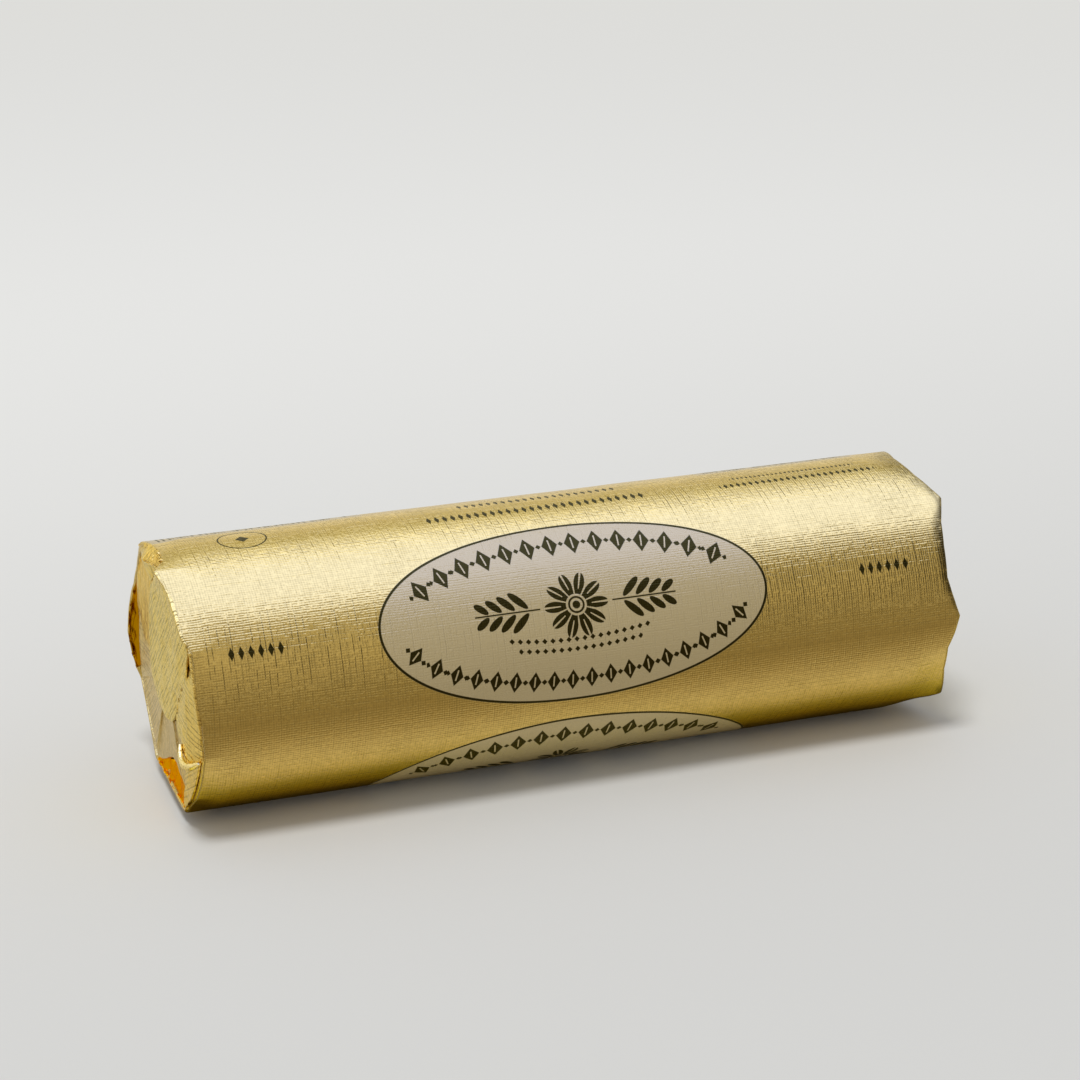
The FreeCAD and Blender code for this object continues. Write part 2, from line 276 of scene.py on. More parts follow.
class RollFinishSettings(bpy.types.PropertyGroup):
    """The foil's colours, its emboss and its print."""

    gold: colour_prop("Gold", "Colour of the foil", (0.755, 0.540, 0.174))
    # Painted reflection: the amber stands for light bounced round inside the gold's open folds.
    amber: colour_prop("Amber", "Colour of the foil deep in an open fold", (0.82, 0.385, 0.004))
    inside: colour_prop("Inside", "Colour of the foil's paler inner side", (0.96, 0.76, 0.34))
    panel: colour_prop("Panel", "Colour of the printed ovals", (0.53, 0.425, 0.235))
    ink: colour_prop("Ink", "Colour of the lines and ornaments", (0.040, 0.031, 0.007))
    thread: length_prop("Thread", "Spacing of the fine threads", 0.46)
    # Painted shade: the next three darken the foil's colour in the emboss's fine threads, in its
    # deeper lines and in the lines of the folded ends, where those grooves would fall into shade.
    thread_shade: share_prop("Thread shade", "How dark the foil is between the fine threads", 0.10)
    line_shade: share_prop("Line shade", "How dark the foil is in the deeper lines", 0.15)
    fold_shade: share_prop("Fold shade", "How dark it is in the lines of the folded ends", 0.60)
    relief: length_prop("Relief", "Depth of the linen emboss", 0.016)


class RollStageSettings(bpy.types.PropertyGroup):
    """The floor, the light and the camera."""

    floor: colour_prop("Floor", "Colour of the floor", (0.75, 0.75, 0.735))
    lamp_watts: FloatProperty(
        name="Lamp power", description="Power of the side lamp", default=22.5, unit="POWER")
    focal: FloatProperty(
        name="Focal length", description="Focal length of the camera", default=101.67,
        unit="CAMERA")
    azimuth: angle_prop("Azimuth", "How far the camera stands to the left", 20.18)
    elevation: angle_prop("Elevation", "How far the camera looks down", 20.31)


def settings(name):
    """A group's settings as plain values: lengths in millimetres and angles in degrees."""
    group = getattr(bpy.context.scene, name)
    values = {}
    for prop in group.bl_rna.properties:
        value = getattr(group, prop.identifier)
        unit = getattr(prop, "unit", "NONE")
        if unit == "LENGTH":
            value = round(value / MM, 5)
        elif unit == "ROTATION":
            value = round(math.degrees(value), 4)
        values[prop.identifier] = value
    return SimpleNamespace(**values)


# ---------------------------------------------------------------------------
# Nodes
# ---------------------------------------------------------------------------

FLOAT = "NodeSocketFloat"
VECTOR = "NodeSocketVector"
GEOMETRY = "NodeSocketGeometry"


class Value:
    """An output of a node, which sums and products can be written with."""

    def __init__(self, wires, socket):
        self.wires = wires
        self.socket = socket

    def __add__(self, other):
        return self.wires.maths("ADD", self, other)

    def __sub__(self, other):
        return self.wires.maths("SUBTRACT", self, other)

    def __rsub__(self, other):
        return self.wires.maths("SUBTRACT", other, self)

    def __mul__(self, other):
        return self.wires.maths("MULTIPLY", self, other)

    def __truediv__(self, other):
        return self.wires.maths("DIVIDE", self, other)

    def __rtruediv__(self, other):
        return self.wires.maths("DIVIDE", other, self)

    def __abs__(self):
        return self.wires.maths("ABSOLUTE", self)

    __radd__ = __add__
    __rmul__ = __mul__


class Wiring:
    """Adds nodes to one tree and joins them, so that a formula reads in order."""

    def __init__(self, tree):
        self.tree = tree

    def feed(self, node, inputs):
        """Join outputs to a node's inputs, or set the inputs to plain values."""
        for name, value in inputs.items():
            socket = node.inputs[name]
            if isinstance(value, Value):
                self.tree.links.new(value.socket, socket)
            else:
                socket.default_value = value

    def node(self, kind, inputs=None, **choices):
        """Add a node, and give its outputs by name and by number."""
        made = self.tree.nodes.new(kind)
        for name, value in choices.items():
            setattr(made, name, value)
        self.feed(made, inputs or {})
        found = {socket.name: Value(self, socket) for socket in made.outputs}
        found.update(enumerate(Value(self, socket) for socket in made.outputs))
        return found

    def maths(self, operation, *values, clamp=False):
        return self.node("ShaderNodeMath", dict(enumerate(values)), operation=operation,
                         use_clamp=clamp)[0]

    def most(self, *values):
        return reduce(lambda first, second: self.maths("MAXIMUM", first, second), values)

    def root(self, value):
        return self.maths("SQRT", value)

    def fraction(self, value):
        return self.maths("FRACT", value)

    def below(self, value, limit, softness):
        """1 where value is under limit, and 0 past it, with a soft edge."""
        return self.node(
            "ShaderNodeMapRange",
            {"Value": self.maths("SUBTRACT", value, limit), "From Min": -softness / 2,
             "From Max": softness / 2, "To Min": 1.0, "To Max": 0.0},
            clamp=True, interpolation_type="SMOOTHSTEP")["Result"]

    def vector(self, *parts):
        return self.node("ShaderNodeCombineXYZ", dict(enumerate(parts)))[0]

    def split(self, vector):
        parts = self.node("ShaderNodeSeparateXYZ", {0: vector})
        return parts["X"], parts["Y"], parts["Z"]

    def vectors(self, operation, inputs):
        return self.node("ShaderNodeVectorMath", inputs, operation=operation)

    def noise(self, vector, scale, detail):
        return self.node("ShaderNodeTexNoise", {"Vector": vector, "Scale": scale,
                                                "Detail": detail, "Roughness": 0.5})[0]

    def mix_colour(self, portion, first, second):
        return self.node("ShaderNodeMix", {0: portion, 6: first, 7: second}, data_type="RGBA")[2]

    def mix_value(self, portion, first, second):
        return self.node("ShaderNodeMix", {0: portion, 2: first, 3: second})[0]

    def attribute(self, name, output):
        return self.node("ShaderNodeAttribute", attribute_name=name)[output]

    def object_place(self):
        return self.node("ShaderNodeTexCoord")["Object"]

    def group(self, tree, **values):
        """A group's outputs. An underscore stands for a space in an input's name."""
        inputs = {name.replace("_", " "): value for name, value in values.items()}
        return self.node("ShaderNodeGroup", inputs, node_tree=tree)


def new_group(name, kind, inputs, outputs):
    """A node group, as its wiring, its inputs and its output node. An input is given by its
    default number, or by its type."""
    tree = bpy.data.node_groups.new(name, kind)
    for label, given in inputs.items():
        is_type = isinstance(given, str)
        socket = tree.interface.new_socket(
            name=label, in_out="INPUT", socket_type=given if is_type else FLOAT)
        if not is_type:
            socket.default_value = given
    for label, socket_type in outputs.items():
        tree.interface.new_socket(name=label, in_out="OUTPUT", socket_type=socket_type)
    wires = Wiring(tree)
    return wires, wires.node("NodeGroupInput"), tree.nodes.new("NodeGroupOutput")


# ---------------------------------------------------------------------------
# The linen emboss
# ---------------------------------------------------------------------------

# The deeper lines of the emboss on the wall, on the folded faces and on the flaps: their spacing
# in millimetres, their width and their run as shares of that, and how much the lines of each
# direction count.
WALL_LINEN = {"Line": 1.1, "Width": 0.07, "Run": 1.3, "Cross": 1.0, "Upright": 1.0}
FACE_LINEN = {"Line": 0.9, "Width": 0.13, "Run": 1.8, "Cross": 1.0, "Upright": 0.35}
FLAP_LINEN = {"Line": 0.9, "Width": 0.13, "Run": 5.0, "Cross": 0.3, "Upright": 1.0}
# How far the threads and the deeper lines waver, as shares of their pitch, and how far apart the
# deeper lines of one direction may stray.
THREAD_WAVER, LINE_WAVER, LINE_STRAY = 0.6, 0.12, 0.8
# Depths of the threads, of the upright lines and of the lines across, next to one another.
THREAD_DEPTH, UPRIGHT_DEPTH, CROSS_DEPTH = 0.6, 2.2, 1.15
# Sizes of the wavering and of the patches where the emboss is deeper, as noise scales.
WAVER_SCALE, PATCH_SCALE = 0.25, 0.13


def linen_group():
    """The linen emboss: fine threads and deeper lines, along and across the sheet."""
    wires, given, result = new_group(
        "Linen emboss", "ShaderNodeTree", {"Sheet": VECTOR, "Thread": 0.46, **WALL_LINEN},
        dict.fromkeys(("Height", "Threads", "Lines", "Patch"), FLOAT))
    along, around, _ = wires.split(given["Sheet"])
    waver = wires.noise(given["Sheet"], WAVER_SCALE, detail=1.0) - 0.5
    thread, line, width, run = (given[name] for name in ("Thread", "Line", "Width", "Run"))
    threads = (emboss_threads(wires, along, around, thread, waver, run=1.4, seed=0.3)
               + emboss_threads(wires, around, along, thread, waver, run=1.7, seed=40.3))
    upright = given["Upright"] * emboss_lines(
        wires, along, around, line * 1.1, width, waver, run, seed=80.3)
    crosswise = given["Cross"] * emboss_lines(
        wires, around, along, line, width, waver, run * 3.0, seed=120.3)
    patch = wires.noise(given["Sheet"], PATCH_SCALE, detail=3.0)
    strength = patch + 0.5
    depth = (threads * THREAD_DEPTH
             + wires.most(upright * UPRIGHT_DEPTH, crosswise * CROSS_DEPTH))
    wires.feed(result, {
        "Height": 1.0 - depth * strength, "Threads": threads * strength,
        "Lines": wires.most(upright, crosswise) * strength, "Patch": patch})
    return wires.tree


def thread_depth(wires, moved, along, pitch, run, seed):
    """The number of each line of the emboss, and how deep it is at each place along it."""
    line = wires.maths("FLOOR", moved) * 3.17
    return line, wires.noise(wires.vector(line, along / (pitch * run), seed), 1.0, detail=1.0)


def emboss_threads(wires, across, along, pitch, waver, run, seed):
    """Fine round threads, side by side."""
    moved = across / pitch + waver * THREAD_WAVER
    _, depth = thread_depth(wires, moved, along, pitch, run, seed)
    wave = wires.maths("COSINE", moved * (2 * math.pi))
    return (1.0 - wave) * wires.below(0.42, depth, 0.30)


def emboss_lines(wires, across, along, pitch, width, waver, run, seed):
    """Thin deeper lines at about one pitch, each a little out of place."""
    moved = across / pitch + waver * LINE_WAVER
    line, depth = thread_depth(wires, moved, along, pitch, run, seed)
    shift = wires.noise(wires.vector(line, 5.3, seed + 9.0), 1.0, detail=0.0)
    centre = (shift - 0.5) * LINE_STRAY + 0.5
    from_middle = abs(wires.fraction(moved) - centre)
    return wires.below(from_middle, width, 0.20) * wires.below(0.43, depth, 0.18)


# ---------------------------------------------------------------------------
# The print, in millimetres on the flat sheet
# ---------------------------------------------------------------------------

# Half the width and height of the ovals and of the small ring.
OVAL = (37.7, 17.5)
RING = (4.6, 3.9)
# Softness of a printed edge.
SOFT = 0.1
# Where the ovals are: their angles round the roll, and their place along it.
OVAL_ANGLES = (28.5, -61.5)
OVAL_PLACE = -1.8
# The short rows beside each oval: their places along the roll, and their sizes.
SIDE_ROWS = (-62.0, 60.0)
SIDE_ROW_SIZES = {"Half_length": 5.4, "Half_height": 1.25, "Pitch": 1.8}
# The rows on top: place along the roll, angle round it, half length, half height and pitch.
TOP_ROWS = (
    (-2.8, 83.5, 21.7, 1.25, 1.55), (-1.0, 95.0, 16.2, 1.1, 1.45),
    (50.2, 82.0, 16.2, 0.9, 1.3), (50.2, 88.5, 13.0, 0.55, 0.9),
)
# The ring's place along the roll, and its angle round it.
RING_PLACE = (-58.4, 89.0)
# The blocks at the back: place along the roll and half length, then their angle round it.
BLOCKS = ((49.5, 16.5), (-54.0, 20.0))
BLOCK_ANGLE, BLOCK_HALF_ANGLE = 122.0, 21.0


def print_group(name, outputs, sizes=()):
    """A node group for one kind of print, and places measured from the print's centre."""
    inputs = {"Sheet": VECTOR, "Centre along": 0.0, "Centre around": 0.0}
    inputs.update(sizes)
    wires, given, result = new_group(
        name, "ShaderNodeTree", inputs, dict.fromkeys(outputs, FLOAT))
    along, around, _ = wires.split(given["Sheet"])
    return wires, given, result, along - given["Centre along"], around - given["Centre around"]


def oval_group():
    """A printed oval: a pale panel in a thin dark line, with a flower and rows of lozenges."""
    wires, _, result, x, y = print_group("Printed oval", ("Panel", "Ink"))
    frame_line, flower_height = 0.5, 0.6
    outline = distance_to_oval(wires, x, y, *OVAL)
    panel = wires.below(outline, 0.0, 0.12)
    flower_y = y - flower_height
    inks = [
        panel * wires.below(-frame_line, outline, 0.15),
        garland(wires, x, y, pitch=4.4, reach=31.0, bow=(33.8, 12.9), tall=2.45, wide=1.55),
        garland(wires, x, y * -1.0, pitch=3.7, reach=31.5, bow=(33.8, 13.2), tall=2.0, wide=1.25),
        flower(wires, x, flower_y),
        sprays(wires, x, flower_y),
    ]
    # Two fine dotted rules under the flower.
    pitch, sag, dot = 1.55, 0.006, 0.52
    for level, reach in ((-5.6, 14.0), (-7.4, 12.0)):
        across = abs(wires.fraction(x / pitch) - 0.5) * pitch
        size = across + abs(y - level - x * x * sag)
        inks.append(wires.below(size, dot, SOFT) * wires.below(abs(x), reach, SOFT))
    wires.feed(result, {"Panel": panel, "Ink": panel * wires.most(*inks)})
    return wires.tree


def garland(wires, x, y, pitch, reach, bow, tall, wide):
    """Lozenges and dots in turn, standing on the upper half of an oval."""
    half_slit, dot_size = 0.13, 0.55
    half_width, half_height = bow
    middle = (wires.maths("FLOOR", x / pitch) + 0.5) * pitch
    portion = middle / half_width
    level = wires.root(wires.maths("SUBTRACT", 1.0, portion * portion, clamp=True))
    slope = portion * (-half_height / half_width) / wires.most(level, 0.2)
    turn = wires.maths("ARCTANGENT", slope)
    cosine, sine = wires.maths("COSINE", turn), wires.maths("SINE", turn)
    right, up = x - middle, y - level * half_height
    across = abs(right * cosine + up * sine)
    along = abs(up * cosine - right * sine)
    slit = wires.below(across, half_slit, SOFT) * wires.below(along, tall * 0.5, SOFT)
    lozenge = wires.below(across / wide + along / tall, 1.0, 0.12) * (1.0 - slit)
    dot = wires.below(abs(pitch / 2 - across) + along, dot_size, 0.15)
    return wires.below(abs(middle), reach, SOFT) * wires.most(lozenge, dot)


def distance_to_oval(wires, x, y, half_width, half_height):
    """About how far a point lies outside an oval, in the units of x and y."""
    across, upward = x / half_width, y / half_height
    level = wires.root(across * across + upward * upward + 1e-6)
    across, upward = across / half_width, upward / half_height
    return (level - 1.0) * level / wires.root(across * across + upward * upward + 1e-9)


def flower(wires, x, y):
    """A round flower of ten petals with a ringed eye."""
    ring_inside, ring_outside, eye = 1.2, 1.6, 0.75
    petal_start, petal_base, petal_length, petal_roundness, petal_gap = 2.0, 1.7, 4.5, 0.55, 0.24
    vein_start, vein_width = 3.0, 0.012
    reach = wires.root(x * x + y * y + 1e-6)
    wave = abs(wires.maths("COSINE", wires.maths("ARCTAN2", y, x) * 5.0))
    petal_tip = wires.maths("POWER", wave, petal_roundness) * petal_length + petal_base
    petals = (wires.below(reach, petal_tip, 0.2) * wires.below(petal_start, reach, 0.15)
              * wires.below(petal_gap, wave, 0.1))
    vein = (wires.below(abs(wave - 1.0), vein_width, 0.01)
            * wires.below(vein_start, reach, SOFT))
    ring = wires.below(reach, ring_outside, 0.15) * wires.below(ring_inside, reach, 0.15)
    return wires.most(petals * (1.0 - vein), wires.below(reach, eye, 0.15), ring)


def sprays(wires, x, y):
    """A spray of paired leaves on each side of the flower, smaller towards its tip."""
    half_stem, stem_start, stem_end = 0.14, 7.0, 19.5
    leaf_pitch, slant, first_leaf, last_leaf = 2.6, 0.9, 7.8, 18.2
    leaf_height, leaf_narrowing = 6.8, 0.22
    far, away = abs(x), abs(y)
    stem = (wires.below(away, half_stem, SOFT) * wires.below(far, stem_end, SOFT)
            * wires.below(stem_start, far, SOFT))
    slanted = far - away * slant
    from_middle = abs(wires.fraction(slanted / leaf_pitch) - 0.5)
    tall = leaf_height - far * leaf_narrowing
    body = (away - tall * 0.5) / (tall * 0.42)
    leaves = (wires.below(body * body + from_middle * from_middle * 7.5, 1.0, 0.2)
              * wires.below(slanted, last_leaf, SOFT) * wires.below(first_leaf, slanted, SOFT))
    return wires.most(stem, leaves)


def row_group():
    """A printed row of small lozenges."""
    wires, given, result, x, y = print_group(
        "Printed row", ("Ink",), {"Half length": 10.0, "Half height": 1.0, "Pitch": 1.8})
    slimness = 3.2
    across = abs(wires.fraction(x / given["Pitch"]) - 0.5) * slimness
    lozenges = wires.below(across + abs(y) / given["Half height"], 1.0, 0.25)
    wires.feed(result, {"Ink": wires.below(abs(x), given["Half length"], SOFT) * lozenges})
    return wires.tree


def block_group():
    """A pale printed block with fine upright bars of uneven width."""
    wires, given, result, x, y = print_group(
        "Printed block", ("Panel", "Ink"), {"Half length": 10.0, "Half height": 1.0})
    bar_scale, bar_seed, bar_share = 1.9, 11.0, 0.47
    panel, inner = (
        wires.below(abs(x), given["Half length"] - side_margin, SOFT)
        * wires.below(abs(y), given["Half height"] - top_margin, SOFT)
        for side_margin, top_margin in ((0.0, 0.0), (1.6, 1.0)))
    bars = wires.noise(wires.vector(x * bar_scale, 0.0, bar_seed), 1.0, detail=0.0)
    wires.feed(result, {"Panel": panel, "Ink": inner * wires.below(bars, bar_share, 0.06)})
    return wires.tree


def stamp_group():
    """A small printed ring with a lozenge in it."""
    wires, _, result, x, y = print_group("Printed ring", ("Ink",))
    half_line, lozenge = 0.15, 1.3
    ring = wires.below(
        abs(distance_to_oval(wires, x, y, *RING) + half_line), half_line, 0.12)
    wires.feed(result, {"Ink": wires.most(ring, wires.below(abs(x) + abs(y), lozenge, 0.2))})
    return wires.tree


def arc_of(degrees):
    """Place around the sheet, in millimetres, of an angle from the front over the top."""
    return math.radians(degrees) * RADIUS


def add_print(wires, sheet):
    """All that is printed on the sheet: the masks of its pale fields and of its ink."""
    oval, row, block, stamp = oval_group(), row_group(), block_group(), stamp_group()
    printed = []

    def add(kind, along, degrees, **sizes):
        printed.append(wires.group(
            kind, Sheet=sheet, Centre_along=along, Centre_around=arc_of(degrees), **sizes))

    for degrees in OVAL_ANGLES:
        add(oval, OVAL_PLACE, degrees)
        for along in SIDE_ROWS:
            add(row, along, degrees, **SIDE_ROW_SIZES)
    for along, degrees, half_length, half_height, pitch in TOP_ROWS:
        add(row, along, degrees, Half_length=half_length, Half_height=half_height, Pitch=pitch)
    add(stamp, *RING_PLACE)
    for along, half_length in BLOCKS:
        add(block, along, BLOCK_ANGLE, Half_length=half_length,
            Half_height=arc_of(BLOCK_HALF_ANGLE))
    return (wires.most(*[made["Panel"] for made in printed if "Panel" in made]),
            wires.most(*[made["Ink"] for made in printed]))


# ---------------------------------------------------------------------------
# Materials
# ---------------------------------------------------------------------------

# The tint that each foil's reflections take where it is seen along its surface.
EDGE_TINTS = {
    "printed_foil": (1.0, 0.95, 0.80, 1.0),
    "folded_foil": (1.0, 0.97, 0.66, 1.0),
    "amber_foil": (1.0, 0.60, 0.10, 1.0),
}
# Painted light: how much brighter the folded flaps' foil is made than the wall's.
FOLD_PAINTED_LIGHT = (1.24, 1.24, 1.14)
# The colour left in each darker place, as a share of the foil's own: in its random clouds, and
# under the painted shade of the emboss's grooves, of deep open folds and of the folded rim.
CLOUD, GROOVE_PAINTED_SHADE, DEEP_FOLD_PAINTED_SHADE, RIM_PAINTED_SHADE = 0.86, 0.22, 0.4, 0.12
# How strong the clouds in the foil's colour are, and their size as a noise scale.
CLOUDINESS, CLOUD_SCALE = 0.35, 90.0
# The foil's least roughness, and how much more it has where the emboss is deeper.
SMOOTHEST, PATCH_ROUGHNESS = 0.16, 0.10
# How metallic the pale fields are, and how rough the print is.
PANEL_METAL = 0.35
PRINT_ROUGHNESS = 0.38
# Patches of painted shade on the folded rim, where its crumples would fall dark: their noise
# scale, how much they leave, how softly they end, and how dark the painted shade is at most.
PAINTED_CRUMPLE_SCALE, PAINTED_CRUMPLE_LIMIT, PAINTED_CRUMPLE_SOFTNESS, RIM_PAINTED_DARKNESS = 700.0, 0.36, 0.3, 0.85
# Where the wall ends and the folded face begins, inwards from the wall.
FACE_INSET, FACE_SOFTNESS = 1.5, 0.6
# Painted light on the floor: how bright its colour is made near the roll and behind it, as
# shares of its colour.
FLOOR_PAINTED_NEAR, FLOOR_PAINTED_BEHIND = 0.97, 1.23
# Where, in metres, the painted light makes the floor brighter behind the roll, and how softly.
BEHIND_ROLL, BEHIND_ROLL_SOFTNESS = 0.12, 0.5
# How far off, in metres, the floor turns into the backdrop, and how softly.
FAR_OFF, FAR_OFF_SOFTNESS = 0.75, 0.8


def new_material(name):
    material = bpy.data.materials.new(name)
    material.use_nodes = True
    return material, Wiring(material.node_tree), material.node_tree.nodes["Principled BSDF"]


def scaled(colour, portion=1.0):
    """A colour times a share, with its alpha."""
    return (*[value * portion for value in colour], 1.0)


def folded_face(wires, place):
    """1 on the folded face of an end, and 0 on the wall."""
    _, y, z = wires.split(place)
    up = z - AXIS * MM
    reach = wires.root(y * y + up * up)
    return wires.below(reach, (RADIUS - FACE_INSET) * MM, FACE_SOFTNESS * MM)


def foil_material(name):
    """Gold foil with its emboss. The wall's foil has the print, and the folds' has none."""
    finish = settings("roll_finish")
    printed = name == "printed_foil"
    material, wires, shader = new_material(name)
    sheet = wires.attribute(SHEET, "Vector")
    tint = wires.attribute(TINT, "Fac")
    place = wires.object_place()
    gold, linen, line_shade = finish.gold, FLAP_LINEN, finish.fold_shade
    if printed:
        face = folded_face(wires, place)
        linen = {label: wires.mix_value(face, WALL_LINEN[label], FACE_LINEN[label])
                 for label in WALL_LINEN}
        line_shade = wires.mix_value(face, finish.line_shade, finish.fold_shade)
    else:
        # Painted light: the folded flaps' foil is made brighter than the wall's.
        gold = [value * gain for value, gain in zip(gold, FOLD_PAINTED_LIGHT)]
    emboss = wires.group(shared_group("Linen emboss", linen_group), Sheet=sheet,
                         Thread=finish.thread, **linen)
    cloud = wires.noise(place, CLOUD_SCALE, detail=3.0)
    colour = wires.mix_colour(cloud * CLOUDINESS, scaled(gold), scaled(gold, CLOUD))
    # Painted shade in the emboss's threads and deeper lines, where those grooves would fall dark.
    shade = emboss["Threads"] * finish.thread_shade + emboss["Lines"] * line_shade
    colour = wires.mix_colour(wires.maths("MINIMUM", shade, 1.0), colour, scaled(gold, GROOVE_PAINTED_SHADE))
    # Painted reflection: amber for light bounced round inside the folds, and above 1 painted shade,
    # darker still, deep in an open fold.
    amber = wires.maths("MINIMUM", tint, 1.0)
    colour = wires.mix_colour(amber, colour, scaled(finish.amber))
    deep = wires.maths("SUBTRACT", tint, 1.0, clamp=True)
    colour = wires.mix_colour(deep, colour, scaled(finish.amber, DEEP_FOLD_PAINTED_SHADE))
    roughness = emboss["Patch"] * PATCH_ROUGHNESS + SMOOTHEST
    metal = 1.0
    if printed:
        panel, ink = add_print(wires, sheet)
        colour = wires.mix_colour(panel, colour, scaled(finish.panel))
        colour = wires.mix_colour(ink, colour, scaled(finish.ink))
        metal = wires.most(wires.mix_value(panel, 1.0, PANEL_METAL), ink)
        roughness = wires.mix_value(wires.most(panel, ink), roughness, PRINT_ROUGHNESS)
        # Painted shade on the right end's folded rim, in crumpled patches.
        field = wires.noise(place, PAINTED_CRUMPLE_SCALE, detail=2.0)
        crumple = wires.below(PAINTED_CRUMPLE_LIMIT, field, PAINTED_CRUMPLE_SOFTNESS)
        rim = wires.attribute(PAINTED_RIM_ATTRIBUTE, "Fac") * crumple * RIM_PAINTED_DARKNESS
        colour = wires.mix_colour(rim, colour, scaled(gold, RIM_PAINTED_SHADE))
    inside = wires.maths("MULTIPLY", tint, -1.0, clamp=True)
    colour = wires.mix_colour(inside, colour, scaled(finish.inside))
    bump = wires.node("ShaderNodeBump", {
        "Strength": 1.0, "Distance": finish.relief * MM, "Height": emboss["Height"]})
    wires.feed(shader, {
        "Base Color": colour, "Metallic": metal, "Roughness": roughness,
        "Specular Tint": EDGE_TINTS[name], "Normal": bump["Normal"]})
    return material


def matt(wires, shader, colour):
    """A matt surface of one colour, without gloss."""
    wires.feed(shader, {"Base Color": colour, "Roughness": 0.8, "Specular IOR Level": 0.0})


def floor_material():
    """A pale floor, with painted light that makes it lighter behind the roll, that turns into the
    plain backdrop far off.
    """
    material, wires, shader = new_material("pale_floor")
    colour = settings("roll_stage").floor
    place = wires.object_place()
    _, y, _ = wires.split(place)
    # Painted light: the floor's colour is made brighter behind the roll.
    behind = wires.below(BEHIND_ROLL, y, BEHIND_ROLL_SOFTNESS)
    matt(wires, shader, wires.mix_colour(
        behind, scaled(colour, FLOOR_PAINTED_NEAR), scaled(colour, FLOOR_PAINTED_BEHIND)))
    distance = wires.vectors("LENGTH", {0: place})["Value"]
    rays = wires.node("ShaderNodeLightPath")
    seen = wires.most(rays["Is Camera Ray"], rays["Is Glossy Ray"])
    glow = wires.node("ShaderNodeEmission", {"Color": scaled(BACKDROP)})
    backdrop = seen * wires.below(FAR_OFF, distance, FAR_OFF_SOFTNESS)
    joined = wires.node("ShaderNodeMixShader", {
        0: backdrop, 1: Value(wires, shader.outputs[0]), 2: glow[0]})
    wires.feed(material.node_tree.nodes["Material Output"], {"Surface": joined[0]})
    return material


# ---------------------------------------------------------------------------
# The shape of the foil, in millimetres from the roll's axis
# ---------------------------------------------------------------------------

# How far past the sheet's free edge the first column of faces starts, in degrees.
PAST_LAP = 0.2
# Rings of faces along the wall, and how much closer they lie towards its ends.
WALL_RINGS, RING_CROWDING = 97, 0.09
# Rings round the foil's folded edge. They and the next one carry the rim's painted shade.
EDGE_RINGS = 6
# Rings from each mark of a folded end to the next one.
MARK_RINGS = 5
# The wall can reach the floor only where the sine of its angle is under this.
UNDERSIDE = -0.5
# How far past the folded face the wall is fully cornered.
CORNERED_PAST_FACE = 0.2
# How far in from the edge the rim's painted shade has faded, as a share of its width.
RIM_PAINTED_SHADE_FADE = 1.35
# How far in the folded edge turns, as a share of its radius each way.
EDGE_DEPTH = 0.8
# The hollow inside the edge: its bottom starts and ends at these shares of its width, rises by
# so much, and its sides have this much painted amber, for light bounced round in the hollow.
BOTTOM_START, BOTTOM_END, BOTTOM_RISE, SIDE_PAINTED_AMBER = 0.72, 0.88, 0.05, 0.6
# How much of the edge's waves the folded face still has past the hollow, and how much of those
# past the pleat's start.
FACE_WAVE, PLEAT_WAVE = 0.25, 0.6
# The rings of the folded face: the pleat's start past the hollow in millimetres, then the next
# ring and the middle one as shares of the radius.
PLEAT_START, INNER_RING, MIDDLE_RING = 3.0, 0.35, 0.02
# How far the free edge of the lap takes to rise, and its other side to sink, in degrees.
LAP_RISE, LAP_FADE = 0.7, 14


def around(table, angles, column=1):
    """A column of a table read at each angle, joined up all the way round."""
    rows = sorted((row[0] % 360, row[column]) for row in table)
    return np.interp(angles, [row[0] for row in rows], [row[1] for row in rows], period=360)


def smooth(values):
    """A soft step from 0 to 1."""
    values = np.clip(values, 0, 1)
    return values * values * (3 - 2 * values)


def corners_beside(corners, angles):
    """The polygon's corners before and after each angle from 0 to 360, in degrees."""
    corners = np.sort(np.array(corners, float) % 360)
    ringed = np.concatenate([[corners[-1] - 360], corners, [corners[0] + 360]])
    following = np.searchsorted(corners, angles % 360, side="right")
    return ringed[following], ringed[following + 1]


def polygon_radius(corners, angles):
    """Radius of the polygon with these corners on the wall's circle."""
    before, after = corners_beside(corners, angles)
    middle = np.radians((before + after) / 2)
    half = np.radians((after - before) / 2)
    return RADIUS * np.cos(half) / np.cos(np.radians(angles) - middle)


def wall_radius(along, angles):
    """Radius of the wall: round, flat underneath, cornered near its ends, lapped at the back."""
    wrap = settings("roll_wrap")
    up = np.sin(np.radians(angles))
    flat = np.where(up < UNDERSIDE, AXIS / np.maximum(-up, -UNDERSIDE), RADIUS)
    past_edge = (angles - wrap.lap_start) % 360
    step = wrap.lap_step * np.cos(np.radians(past_edge)) * smooth(past_edge / LAP_RISE)
    step = step * (1 - smooth((past_edge - wrap.lap_angle) / LAP_FADE + 1))
    wall = np.minimum(RADIUS, flat) + np.where(past_edge < wrap.lap_angle, step, 0)
    rim = wrap.face_level + CORNERED_PAST_FACE
    for end, taper in ((LEFT, wrap.left_taper), (RIGHT, wrap.right_taper)):
        flatness = smooth((end.side * along - rim) / taper + 1) * around(end.flats, angles)
        cornered = np.minimum(polygon_radius(end.corners, angles), wall)
        wall = wall + (cornered - wall) * flatness
    return wall


def wall_points(along, angles, radius):
    """Points at a distance along the axis, an angle and a radius, in metres."""
    turn = np.radians(angles)
    along, radius = np.broadcast_arrays(along, radius)
    return np.stack([along, -radius * np.cos(turn), AXIS + radius * np.sin(turn)], -1) * MM


